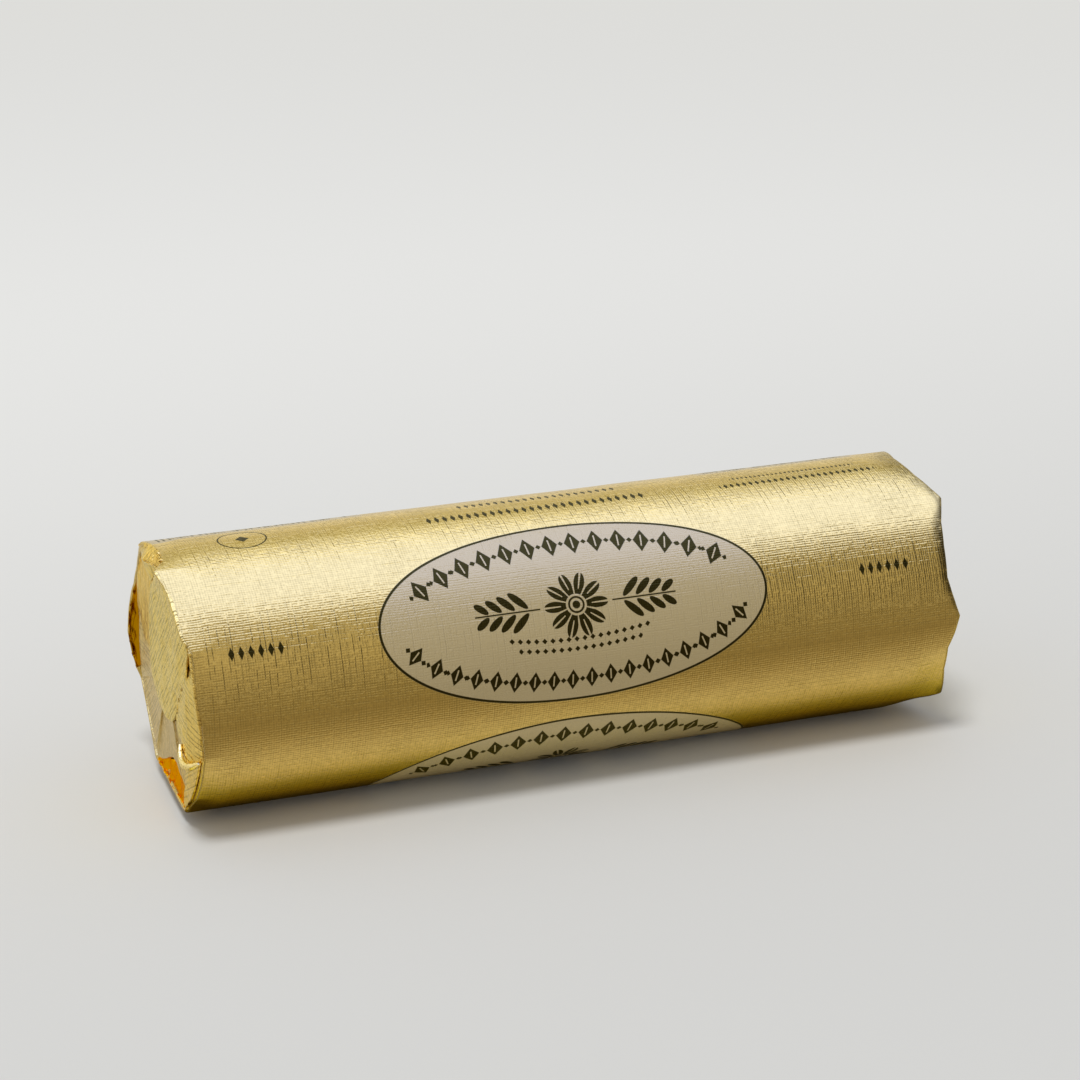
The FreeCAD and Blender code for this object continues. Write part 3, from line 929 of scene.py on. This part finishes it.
def wall_rings(wrap, angles):
    """The wall from its left edge to its right one: each ring's points, places on the sheet,
    painted colour of the hollows and the folded rim's painted shade."""
    ring = angles[:-1]
    left, right = around(LEFT_EDGE, ring), around(RIGHT_EDGE, ring)
    painted_rim_width, painted_rim_darkness = (around(RIGHT_RIM_PAINTED_SHADE, ring, column) for column in (1, 2))
    arc = np.radians(angles - 360) * RADIUS
    portions = np.linspace(0, 1, WALL_RINGS)
    for part in portions - RING_CROWDING * np.sin(2 * math.pi * portions):
        along = wrap.edge_radius - left + (right + left - 2 * wrap.edge_radius) * part
        sheet = list(zip(np.append(along, along[0]), arc))
        # Painted shade on the folded rim, fading inwards from the right edge.
        dark = painted_rim_darkness * smooth(RIM_PAINTED_SHADE_FADE - (right - along) / painted_rim_width)
        yield wall_points(along, ring, wall_radius(along, ring)), sheet, 0 * ring, dark


def cap_rings(wrap, end, angles):
    """One folded end from its edge to its middle, ring by ring, as in wall_rings."""
    ring = angles[:-1]
    # Painted amber in the hollow.
    amber = around(end.ambers, ring)
    # Painted shade on the right end's folded rim.
    dark = around(RIGHT_RIM_PAINTED_SHADE, ring, 2) if end is RIGHT else 0 * ring
    for number, (radius, out, depth) in enumerate(cap_stations(wrap, end, angles)):
        inward, sideways = fold_sheet(end.corners, angles, radius, out)
        yield (wall_points(end.side * out[:-1], ring, radius[:-1]),
               list(zip(end.side * inward, sideways)), depth * amber,
               dark * (number <= EDGE_RINGS))


def cap_stations(wrap, end, angles):
    """From the foil's edge to the middle of an end, ring by ring: radius, how far out, and how
    deep it lies in the hollow, from 0 to 1, which is how much of the painted colour it takes."""
    out, width, depth = (around(end.edge, angles, column) for column in (1, 2, 3))
    bend, level = wrap.edge_radius, wrap.face_level
    wall = wall_radius(end.side * (out - bend), angles)
    for turn in np.linspace(0, math.pi, EDGE_RINGS + 1)[1:]:
        yield (wall - bend * (1 - np.cos(turn)) * EDGE_DEPTH,
               out - bend + bend * np.sin(turn), 0.0)
    lip = wall - bend * EDGE_DEPTH * 2
    face = level + FACE_WAVE * (out - level)
    bottom = np.minimum(out - bend - depth, out - bend)
    before, after = corners_beside(end.corners, angles)
    pleat = wrap.pleat_step * (after - angles % 360) / (after - before)
    marks = (
        (lip, out - bend, SIDE_PAINTED_AMBER),
        (lip - width * BOTTOM_START, bottom, 1.0),
        (lip - width * BOTTOM_END, bottom + BOTTOM_RISE, SIDE_PAINTED_AMBER),
        (lip - width, np.maximum(face, bottom), 0.0),
        (lip - width - PLEAT_START, level + (face - level) * PLEAT_WAVE - pleat, 0.0),
        (lip * INNER_RING, level - pleat, 0.0),
        (lip * MIDDLE_RING, level + 0 * face, 0.0),
    )
    for first, last in zip(marks, marks[1:]):
        for part in np.linspace(0, 1, MARK_RINGS + 1)[1:]:
            yield tuple(here + (there - here) * portion for here, there, portion in
                        zip(first, last, (part, smooth(part), part)))


def fold_sheet(corners, angles, radius, out):
    """Places on the sheet of points on a folded end: each side's foil is folded straight in."""
    before, after = corners_beside(corners, angles)
    middle = np.radians((before + after) / 2)
    turn = np.radians(angles)
    inward = RADIUS - radius * np.cos(turn - middle)
    return out + inward, middle * RADIUS + radius * np.sin(turn - middle)


def grid_mesh(name, rows, sheets, tints, painted_rim_shades):
    """A tube of rings, closed at both ends, with the sheet's places at each face's corners."""
    count = len(rows[0])
    faces = []
    sheet = []
    for ring, (here, there) in enumerate(zip(sheets, sheets[1:])):
        for column in range(count):
            first, second = ring * count, (ring + 1) * count
            following = (column + 1) % count
            wide = column + 1
            faces.append((first + column, second + column, second + following, first + following))
            sheet += [here[column], there[column], there[wide], here[wide]]
    for ring, order in ((0, 1), (len(rows) - 1, -1)):
        faces.append(tuple(ring * count + column for column in range(count))[::order])
        sheet += sheets[ring][:count][::order]
    mesh = bpy.data.meshes.new(name)
    mesh.from_pydata(np.concatenate(rows).tolist(), [], faces)
    # Each point's painted amber and its share of the folded rim's painted shade.
    add_attributes(mesh, "CORNER", sheet, {TINT: np.concatenate(tints), PAINTED_RIM_ATTRIBUTE: np.concatenate(painted_rim_shades)})
    return mesh


def add_attributes(mesh, domain, sheet, numbers):
    """Give a mesh its places on the flat sheet, and numbers for each of its points."""
    places = np.zeros((len(sheet), 3), np.float32)
    places[:, :2] = sheet
    made = mesh.attributes.new(SHEET, "FLOAT_VECTOR", domain)
    made.data.foreach_set("vector", places.ravel())
    for label, values in numbers.items():
        made = mesh.attributes.new(label, "FLOAT", "POINT")
        values = np.broadcast_to(values, len(mesh.vertices)).astype(np.float32)
        made.data.foreach_set("value", values)
    mesh.update()


# ---------------------------------------------------------------------------
# The shape of the flaps
# ---------------------------------------------------------------------------

# Faces of a flap along its fold and inwards from it, and rings round the fold.
FLAP_COLUMNS, FLAP_ROWS, FOLD_RINGS = 72, 44, 9
# How far a flap's fold stands off the foil's edge, and how far out it lies from it when it is
# outside that edge and when it is inside.
PROUD, PROUD_OUT, INSET_OUT = 0.03, 0.05, -0.15
# How far a fold turns to each side, in degrees.
FOLD_TURN = 75
# The share of a fold's radius that is left at the fold's far end, and how late it narrows.
FOLD_NARROWING, FOLD_LATENESS = 0.45, 1.5
# How far the flap is drawn in under its fold, as a share of the radius, and how soon that ends.
FOLD_PULL, FOLD_FADE = 0.9, 9
# Faces along a curled edge and round it, how blunt its ends are, and how flat it is.
CURL_RINGS, CURL_SIDES, CURL_TAPER, CURL_FLATNESS = 64, 14, 0.45, 0.85
# Below 0, the tint is that of the foil's paler inner side.
CURL_TINT = -0.9
# A flap's dents are this much wider than its crumples, and its creases this much shallower.
DENT_WIDTH, CREASE_SHARE = 2.2, 0.5
# The dents of the flaps start from a seed beside this one, on each end its own.
FLAP_SEED = 5.0
CURL_DENTS = {"Dent_size": 3.0, "Dent_depth": 0.12, "Crease_size": 2.0, "Crease_depth": 0.05,
              "Seed": 8.0}
# A place on the sheet that no other flap or wall reaches, so that the linen doesn't match up.
FLAP_SHEET = 300


def even_line(points, count):
    """A soft line through a few points, read at evenly spaced places."""
    points = np.array(points, float)
    for _ in range(3):
        first, second = points[:-1], points[1:]
        between = np.stack([first * 0.75 + second * 0.25, first * 0.25 + second * 0.75], 1)
        points = np.concatenate([points[:1], between.reshape(-1, 3), points[-1:]])
    steps = np.linalg.norm(np.diff(points, axis=0), axis=1)
    reached = np.concatenate([[0], np.cumsum(steps)])
    places = np.linspace(0, reached[-1], count)
    return np.stack([np.interp(places, reached, points[:, axis]) for axis in range(3)], 1)


def on_edge(points, end):
    """Find the points that are given by an angle, on the foil's edge or some way inside it."""
    edge_radius = settings("roll_wrap").edge_radius
    found = []
    for point in points:
        if len(point) < 3:
            degrees, inset = (*point, -PROUD)[:2]
            out = around(end.edge, degrees)
            radius = wall_radius(end.side * (out - edge_radius), degrees) - inset
            turn = math.radians(degrees)
            point = (radius * math.cos(turn), radius * math.sin(turn),
                     out + (PROUD_OUT if inset < 0 else INSET_OUT))
        found.append(point)
    return found


def flap_grid(flap, end):
    """Points of a flap: rounded at its fold and stretched between its four edges."""
    outer = even_line(on_edge(flap.fold, end), FLAP_COLUMNS)
    inner = even_line(flap.inner, FLAP_COLUMNS)
    start, finish = (
        even_line(on_edge(line, end) if line else (outer[corner], inner[corner]), FLAP_ROWS)
        for line, corner in ((flap.first, 0), (flap.last, -1)))
    along = np.linspace(0, 1, FLAP_COLUMNS)[None, :, None]
    down = np.linspace(0, 1, FLAP_ROWS)[:, None, None]
    ruled = outer * (1 - down) + inner * down
    crossed = start[:, None] * (1 - along) + finish[:, None] * along
    face = ruled + crossed - (ruled[:, :1] * (1 - along) + ruled[:, -1:] * along)
    narrowing = np.linspace(1.0, FOLD_NARROWING, FLAP_COLUMNS)[:, None]
    bend = flap.bend * narrowing ** FOLD_LATENESS
    heading = unit(np.gradient(outer, axis=0)[:, :2])
    outward = np.stack([heading[:, 1], -heading[:, 0]], 1)
    if np.sum(outward * (outer[:, :2] - inner[:, :2])) < 0:
        outward = -outward
    rings = []
    for turn in np.radians(np.linspace(-FOLD_TURN, FOLD_TURN, FOLD_RINGS)):
        ring = outer.copy()
        ring[:, :2] += outward * bend * (math.cos(turn) - 1.0)
        ring[:, 2] += bend[:, 0] * (math.sin(turn) - 1.0)
        rings.append(ring)
    face[..., :2] -= outward * np.exp(-down * FOLD_FADE) * bend * FOLD_PULL
    return np.concatenate([np.array(rings), face[1:]])


def unit(vectors):
    """Vectors brought to a length of 1."""
    return vectors / np.linalg.norm(vectors, axis=1)[:, None]


def end_points(end, grid):
    """Points of an end, given towards the front, up and out, as places in metres."""
    points = np.stack([end.side * grid[..., 2], -grid[..., 0], AXIS + grid[..., 1]], -1) * MM
    return points.reshape(-1, 3)


def flap_mesh(flap, end):
    """The outer face of a flap, turned outwards, with its linen turned on the sheet."""
    grid = flap_grid(flap, end)
    points = end_points(end, grid)
    index = np.arange(len(points)).reshape(grid.shape[:2])
    quads = np.stack([index[:-1, :-1], index[1:, :-1], index[1:, 1:], index[:-1, 1:]], -1)
    quads = quads.reshape(-1, 4)
    first, second, third, fourth = (points[quads[:, corner]] for corner in range(4))
    if np.cross(third - first, fourth - second)[:, 0].sum() * end.side < 0:
        quads = quads[:, ::-1]
    mesh = bpy.data.meshes.new(flap.name)
    mesh.from_pydata(points.tolist(), [], quads.tolist())
    cosine, sine = math.cos(math.radians(flap.turned)), math.sin(math.radians(flap.turned))
    front, up = grid[..., 0].ravel(), grid[..., 1].ravel()
    sheet = np.stack([front * cosine - up * sine + FLAP_SHEET, front * sine + up * cosine], -1)
    # Each point carries the flap's share of painted amber.
    add_attributes(mesh, "POINT", sheet, {TINT: flap.amber})
    return mesh


def curl_mesh(name, end, line, thickness):
    """A thin closed roll of foil along a line, tapered at both ends."""
    path = even_line(line, CURL_RINGS)
    heading = unit(np.gradient(path, axis=0))
    up = unit(np.cross(heading, [0, 0, 1.0]))
    across = np.cross(heading, up)
    swell = np.sin(np.linspace(0.04, 0.96, CURL_RINGS) * math.pi) ** CURL_TAPER
    turns = np.arange(CURL_SIDES)[:, None] * 2 * math.pi / CURL_SIDES
    ring = up[:, None] * np.cos(turns) + across[:, None] * np.sin(turns) * CURL_FLATNESS
    grid = path[:, None] + ring * (swell * thickness)[:, None, None]
    last = (CURL_RINGS - 1) * CURL_SIDES
    faces = [tuple(range(CURL_SIDES)), tuple(range(last, last + CURL_SIDES))]
    for first in range(0, last, CURL_SIDES):
        for step in range(CURL_SIDES):
            here, there = first + step, first + (step + 1) % CURL_SIDES
            faces.append((here, there, there + CURL_SIDES, here + CURL_SIDES))
    mesh = bpy.data.meshes.new(name)
    mesh.from_pydata(end_points(end, grid).tolist(), [], faces)
    work = bmesh.new()
    work.from_mesh(mesh)
    bmesh.ops.recalc_face_normals(work, faces=work.faces)
    work.to_mesh(mesh)
    work.free()
    add_attributes(mesh, "POINT", grid[..., :2].reshape(-1, 2) + FLAP_SHEET, {TINT: CURL_TINT})
    return mesh


# ---------------------------------------------------------------------------
# Geometry Nodes
# ---------------------------------------------------------------------------

# A place in the noise for the dents, beside the seed.
DENT_SHIFT = (1.7, 4.1)
# How high a crease's ridge stands, and how steeply it falls off.
CREASE_RIDGE, CREASE_SLOPE = 0.6, 4.0
# The angle past which the foil's edges stay sharp.
SHARP = math.radians(50)


def dent_tree():
    """Pushes a surface in and out along its normal, by soft dents and sharper creases."""
    wires, given, result = new_group(
        "Foil dents", "GeometryNodeTree",
        {"Geometry": GEOMETRY, "Dent size": 20.0, "Dent depth": 0.1, "Crease size": 5.0,
         "Crease depth": 0.0, "Seed": 3.0, "Material": "NodeSocketMaterial"},
        {"Geometry": GEOMETRY})
    position = wires.node("GeometryNodeInputPosition")[0]
    normal = wires.node("GeometryNodeInputNormal")[0]
    shift = wires.vector(given["Seed"], *DENT_SHIFT)
    pushes = []
    for kind in ("Dent", "Crease"):
        scale = 1 / MM / given[kind + " size"]
        scaled_place = wires.vectors("SCALE", {0: position, "Scale": scale})[0]
        field = wires.noise(wires.vectors("ADD", {0: scaled_place, 1: shift})[0], 1.0, detail=1.0)
        if kind == "Crease":
            field = CREASE_RIDGE - abs(field - 0.5) * CREASE_SLOPE
        pushes.append((field - 0.5) * given[kind + " depth"] * (2 * MM))
    offset = wires.vectors("SCALE", {0: normal, "Scale": pushes[0] + pushes[1]})[0]
    moved = wires.node("GeometryNodeSetPosition", {"Geometry": given["Geometry"],
                                                   "Offset": offset})[0]
    real = wires.node("GeometryNodeRealizeInstances", {0: moved})[0]
    coated = wires.node("GeometryNodeSetMaterial", {"Geometry": real,
                                                    "Material": given["Material"]})[0]
    wires.feed(result, {"Geometry": coated})
    return wires.tree


def shared_group(name, make):
    """The node group of this name, which is made once."""
    return bpy.data.node_groups.get(name) or make()


def add_dents(piece, material, **values):
    """Put the dents on a piece, with their sizes set by name."""
    tree = shared_group("Foil dents", dent_tree)
    modifier = piece.modifiers.new(tree.name, "NODES")
    modifier.node_group = tree
    values["Material"] = material
    for item in tree.interface.items_tree:
        label = item.name.replace(" ", "_")
        if item.in_out == "INPUT" and label in values:
            modifier[item.identifier] = values[label]


def add_piece(name, mesh, material):
    """A smooth piece of foil in the scene."""
    piece = bpy.data.objects.new(name, mesh)
    bpy.context.scene.collection.objects.link(piece)
    mesh.materials.append(material)
    mesh.shade_smooth()
    return piece


def finish_piece(piece):
    """Keep what a piece's modifiers make as its plain mesh, and hand it over."""
    graph = bpy.context.evaluated_depsgraph_get()
    made = bpy.data.meshes.new_from_object(piece.evaluated_get(graph))
    if not made.polygons:
        raise RuntimeError(f"{piece.name} came out empty")
    piece.modifiers.clear()
    old = piece.data
    piece.data = made
    bpy.data.meshes.remove(old)
    made.name = piece.name
    made.set_sharp_from_angle(angle=SHARP)
    stay_above_floor(made)
    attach(piece, "root")
    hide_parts(NODE)


def stay_above_floor(mesh):
    """Bring points that a dent has pushed under the floor back up to it."""
    points = np.empty(len(mesh.vertices) * 3, np.float32)
    mesh.vertices.foreach_get("co", points)
    points[2::3] = np.maximum(points[2::3], 0.0)
    mesh.vertices.foreach_set("co", points)
    mesh.update()


# ---------------------------------------------------------------------------
# Operators
# ---------------------------------------------------------------------------

class ROLL_OT_wrap(bpy.types.Operator):
    """Make the foil wall with its emboss and print, and its two folded faces"""

    bl_idname = "roll.wrap"
    bl_label = "Wrap the roll"

    def execute(self, context):
        wrap = settings("roll_wrap")
        columns = np.arange(wrap.columns + 1)
        angles = wrap.lap_start + PAST_LAP + columns * 360 / wrap.columns
        rings = list(cap_rings(wrap, LEFT, angles))[::-1]
        rings += wall_rings(wrap, angles)
        rings += cap_rings(wrap, RIGHT, angles)
        material = foil_material("printed_foil")
        piece = add_piece("foil_wrap", grid_mesh("foil_wrap", *zip(*rings)), material)
        add_dents(piece, material, Dent_size=wrap.dent_size, Dent_depth=wrap.dent_depth)
        finish_piece(piece)
        return {"FINISHED"}


class ROLL_OT_fold_ends(bpy.types.Operator):
    """Make the flaps, the crumpled corner and the curled edges of both folded ends"""

    bl_idname = "roll.fold_ends"
    bl_label = "Fold the ends"

    def execute(self, context):
        folds = settings("roll_folds")
        gold, amber = foil_material("folded_foil"), foil_material("amber_foil")
        for end in (LEFT, RIGHT):
            for flap in end.flaps:
                # Flaps deep in an open fold take the foil with painted amber and painted shade.
                material = amber if flap.amber >= 1 else gold
                piece = add_piece(flap.name, flap_mesh(flap, end), material)
                size, depth = folds.crumple_size, folds.crumple_depth * flap.crumple
                add_dents(piece, material, Dent_size=size * DENT_WIDTH, Dent_depth=depth,
                          Crease_size=size, Crease_depth=depth * CREASE_SHARE,
                          Seed=FLAP_SEED + end.side)
                shell = piece.modifiers.new("thickness", "SOLIDIFY")
                shell.thickness = folds.thickness * MM
                shell.offset = -1.0
                finish_piece(piece)
        for name, end, line, thickness in CURLS:
            piece = add_piece(name, curl_mesh(name, end, line, thickness), gold)
            add_dents(piece, gold, **CURL_DENTS)
            finish_piece(piece)
        return {"FINISHED"}


class ROLL_OT_stage(bpy.types.Operator):
    """Set up the floor, the soft box, the room light and the camera"""

    bl_idname = "roll.stage"
    bl_label = "Set the stage"

    def execute(self, context):
        stage = settings("roll_stage")
        add_sheet("floor", *FLOOR_CORNERS, 0.0, floor_material())
        add_card()
        add_lamp(stage)
        add_world()
        add_camera(stage)
        context.scene.view_settings.view_transform = "Standard"
        return {"FINISHED"}


# ---------------------------------------------------------------------------
# The stage, in metres
# ---------------------------------------------------------------------------

# The floor's near left and far right corners.
FLOOR_CORNERS = ((-4.0, -4.0), (4.0, 4.0))
# The lamp: where it hangs, how wide it is, and how high over the floor it aims.
LAMP_PLACE = (-0.45, -0.50, 2.2)
LAMP_WIDTH = 0.6
LAMP_AIM = 0.02
# The camera's place from the middle of the roll's axis, and the width of its sensor in mm.
CAMERA_PLACE = (-0.18598, -0.50358, 0.21586)
SENSOR = 36.0
# The card: its near left and far right corners, and its height over the floor.
CARD_CORNERS = ((-0.7, -0.42), (0.7, -0.008))
CARD_LEVEL = 0.0005
# The card's painted colours towards the roll: place in millimetres from the axis, then colour.
# They are the floor's painted light and shade as the foil should reflect it: dimmer further off,
# and close under the roll a painted shadow, amber because light reaches it only from the gold.
CARD_PAINTED_SHADES = (
    (-75, 0.38, 0.33, 0.22), (-62, 0.36, 0.31, 0.21), (-48, 0.44, 0.39, 0.28),
    (-39, 0.62, 0.57, 0.45), (-32, 0.76, 0.73, 0.64), (-27.5, 0.92, 0.91, 0.78),
    (-23.5, 0.9, 0.86, 0.66), (-20, 0.84, 0.82, 0.31), (-17.5, 0.85, 0.84, 0.14),
    (-15, 0.74, 0.64, 0.07), (-13, 0.32, 0.26, 0.04), (-10, 0.14, 0.11, 0.02),
)

# Light of the room by height: angle from the front over the top, then its colour.
ROOM_LIGHT = (
    (-180, 0.75, 0.74, 0.72), (-5, 0.37, 0.33, 0.23), (10, 0.47, 0.42, 0.3),
    (25, 0.69, 0.65, 0.54), (47, 0.58, 0.55, 0.43), (57, 0.6, 0.6, 0.56), (66, 1.46, 1.71, 3.0),
    (75, 1.44, 1.76, 3.45), (115, 1.45, 1.78, 3.45), (130, 1.54, 1.73, 2.2),
    (141, 0.62, 0.62, 0.42), (152, 0.54, 0.53, 0.36), (163, 1.04, 1.04, 0.98),
    (180, 1.02, 1.04, 1.06),
)
# The strength that the room's colours are shares of.
BRIGHTEST = 3.6
# What the room gives to matt surfaces, which the side lamp lights for the most part.
ROOM_FILL = 0.50
# What is left of the room's light to the right, and its colour under the end of the soft box.
RIGHT_DIMNESS = 0.2
BOX_END = (0.30, 0.28, 0.20)
# The soft box: the angle of its middle, half its spread, and how softly that ends, in radians.
BOX_ANGLE, BOX_HALF_SPREAD, BOX_SOFTNESS = map(math.radians, (97, 31, 14))
# Where the room turns dim to the right, how much further under the box, and how softly.
DIM_FROM, DIM_UNDER_BOX, DIM_SOFTNESS = 0.50, 0.36, 0.24
# Past this angle, behind the roll, the room is dim nowhere.
BEHIND = math.radians(157)
BEHIND_SOFTNESS = 0.35
# What the camera sees far off, as bright as the floor near the roll.
BACKDROP = (0.745, 0.74, 0.71)


def add_sheet(name, low, high, level, material):
    """A flat piece of the stage between two corners."""
    corners = [(low[0], low[1], level), (high[0], low[1], level),
               (high[0], high[1], level), (low[0], high[1], level)]
    mesh = bpy.data.meshes.new(name)
    mesh.from_pydata(corners, [], [(0, 1, 2, 3)])
    mesh.materials.append(material)
    made = bpy.data.objects.new(name, mesh)
    bpy.context.scene.collection.objects.link(made)
    return made


def add_card():
    """A tan card on the floor before the roll, which only the foil's reflections show. It is
    painted with the floor's light and shade as the foil should reflect them, with the roll's shadow
    under it.
    """
    material, wires, shader = new_material("tan_card")
    _, y, _ = wires.split(wires.object_place())
    first, last = CARD_PAINTED_SHADES[0][0], CARD_PAINTED_SHADES[-1][0]
    portion = (y - first * MM) / ((last - first) * MM)
    stops = [((spot - first) / (last - first), colour) for spot, *colour in CARD_PAINTED_SHADES]
    matt(wires, shader, colour_ramp(wires, portion, stops))
    card = add_sheet("tan_card", *CARD_CORNERS, CARD_LEVEL, material)
    card.visible_camera = False
    card.visible_diffuse = False
    card.visible_shadow = False


def colour_ramp(wires, portion, stops):
    """A colour that changes along a share from 0 to 1, through stops of a place and a colour."""
    node = wires.tree.nodes.new("ShaderNodeValToRGB")
    wires.feed(node, {0: portion})
    elements = node.color_ramp.elements
    while len(elements) < len(stops):
        elements.new(0.5)
    for element, (spot, colour) in zip(elements, stops):
        element.position = spot
        element.color = scaled(colour)
    return Value(wires, node.outputs["Color"])


def add_lamp(stage):
    """A soft lamp high at the front left, which gives the shadow its side."""
    data = bpy.data.lights.new("side_lamp", "AREA")
    data.shape = "DISK"
    data.size = LAMP_WIDTH
    data.energy = stage.lamp_watts
    lamp = bpy.data.objects.new("side_lamp", data)
    lamp.location = LAMP_PLACE
    aim = Vector((0.0, 0.0, LAMP_AIM)) - lamp.location
    lamp.rotation_euler = aim.to_track_quat("-Z", "Y").to_euler()
    lamp.visible_glossy = False
    bpy.context.scene.collection.objects.link(lamp)


def add_world():
    """The room: a long soft box overhead, a dim front and a pale wall behind."""
    world = bpy.data.worlds.new("room")
    world.use_nodes = True
    wires = Wiring(world.node_tree)
    portion_of_full = 1 / BRIGHTEST
    x, y, z = wires.split(wires.node("ShaderNodeTexCoord")["Generated"])
    turn = wires.maths("ARCTAN2", z, y * -1.0)
    # The room is dim to the right, further round where the soft box hangs.
    under_box = wires.below(abs(turn - BOX_ANGLE), BOX_HALF_SPREAD, BOX_SOFTNESS)
    lit = wires.most(wires.below(x, under_box * DIM_UNDER_BOX + DIM_FROM, DIM_SOFTNESS),
                     wires.below(BEHIND, turn, BEHIND_SOFTNESS))
    stops = [(degrees / 360 + 0.5, [value * portion_of_full for value in colour])
             for degrees, *colour in ROOM_LIGHT]
    room = colour_ramp(wires, turn / (2 * math.pi) + 0.5, stops)
    dim = wires.mix_colour(RIGHT_DIMNESS, scaled((0.0, 0.0, 0.0)), room)
    dim = wires.mix_colour(under_box, dim, scaled(BOX_END, portion_of_full))
    room = wires.mix_colour(lit, dim, room)
    rays = wires.node("ShaderNodeLightPath")
    fill = scaled([ROOM_FILL] * 3, portion_of_full)
    room = wires.mix_colour(rays["Is Diffuse Ray"], room, fill)
    room = wires.mix_colour(rays["Is Camera Ray"], room, scaled(BACKDROP, portion_of_full))
    wires.feed(world.node_tree.nodes["Background"], {"Color": room, "Strength": BRIGHTEST})
    world.cycles.sampling_method = "NONE"
    bpy.context.scene.world = world


def add_camera(stage):
    """The camera, high at the front left."""
    data = bpy.data.cameras.new("camera")
    data.lens = stage.focal
    data.sensor_width = SENSOR
    camera = bpy.data.objects.new("camera", data)
    camera.location = Vector(CAMERA_PLACE) + Vector((0.0, 0.0, AXIS * MM))
    camera.rotation_euler = (
        math.radians(90 - stage.elevation), 0.0, math.radians(-stage.azimuth))
    bpy.context.scene.collection.objects.link(camera)
    bpy.context.scene.camera = camera


# ---------------------------------------------------------------------------
# The panel, and what is registered
# ---------------------------------------------------------------------------

class ROLL_PT_panel(bpy.types.Panel):
    """Lists the steps that build the roll, and its settings."""

    bl_label = "Butter roll"
    bl_idname = "ROLL_PT_panel"
    bl_space_type = "VIEW_3D"
    bl_region_type = "UI"
    bl_category = "Butter Roll"

    def draw(self, context):
        for operator in OPERATORS:
            self.layout.operator(operator.bl_idname)
        for name in SETTINGS:
            box = self.layout.box()
            group = getattr(context.scene, name)
            for prop in group.bl_rna.properties:
                if prop.identifier not in {"rna_type", "name"}:
                    box.prop(group, prop.identifier)


OPERATORS = (ROLL_OT_stage, ROLL_OT_wrap, ROLL_OT_fold_ends)
SETTINGS = {
    "roll_wrap": RollWrapSettings,
    "roll_folds": RollFoldSettings,
    "roll_finish": RollFinishSettings,
    "roll_stage": RollStageSettings,
}
CLASSES = (*SETTINGS.values(), *OPERATORS, ROLL_PT_panel)


def register():
    for made in CLASSES:
        bpy.utils.register_class(made)
    for name, group in SETTINGS.items():
        setattr(bpy.types.Scene, name, PointerProperty(type=group))


def unregister():
    for name in SETTINGS:
        delattr(bpy.types.Scene, name)
    for made in reversed(CLASSES):
        bpy.utils.unregister_class(made)


def main():
    register()
    bpy.ops.roll.stage()
    bpy.ops.roll.wrap()
    bpy.ops.roll.fold_ends()


if __name__ == "__main__":
    main()
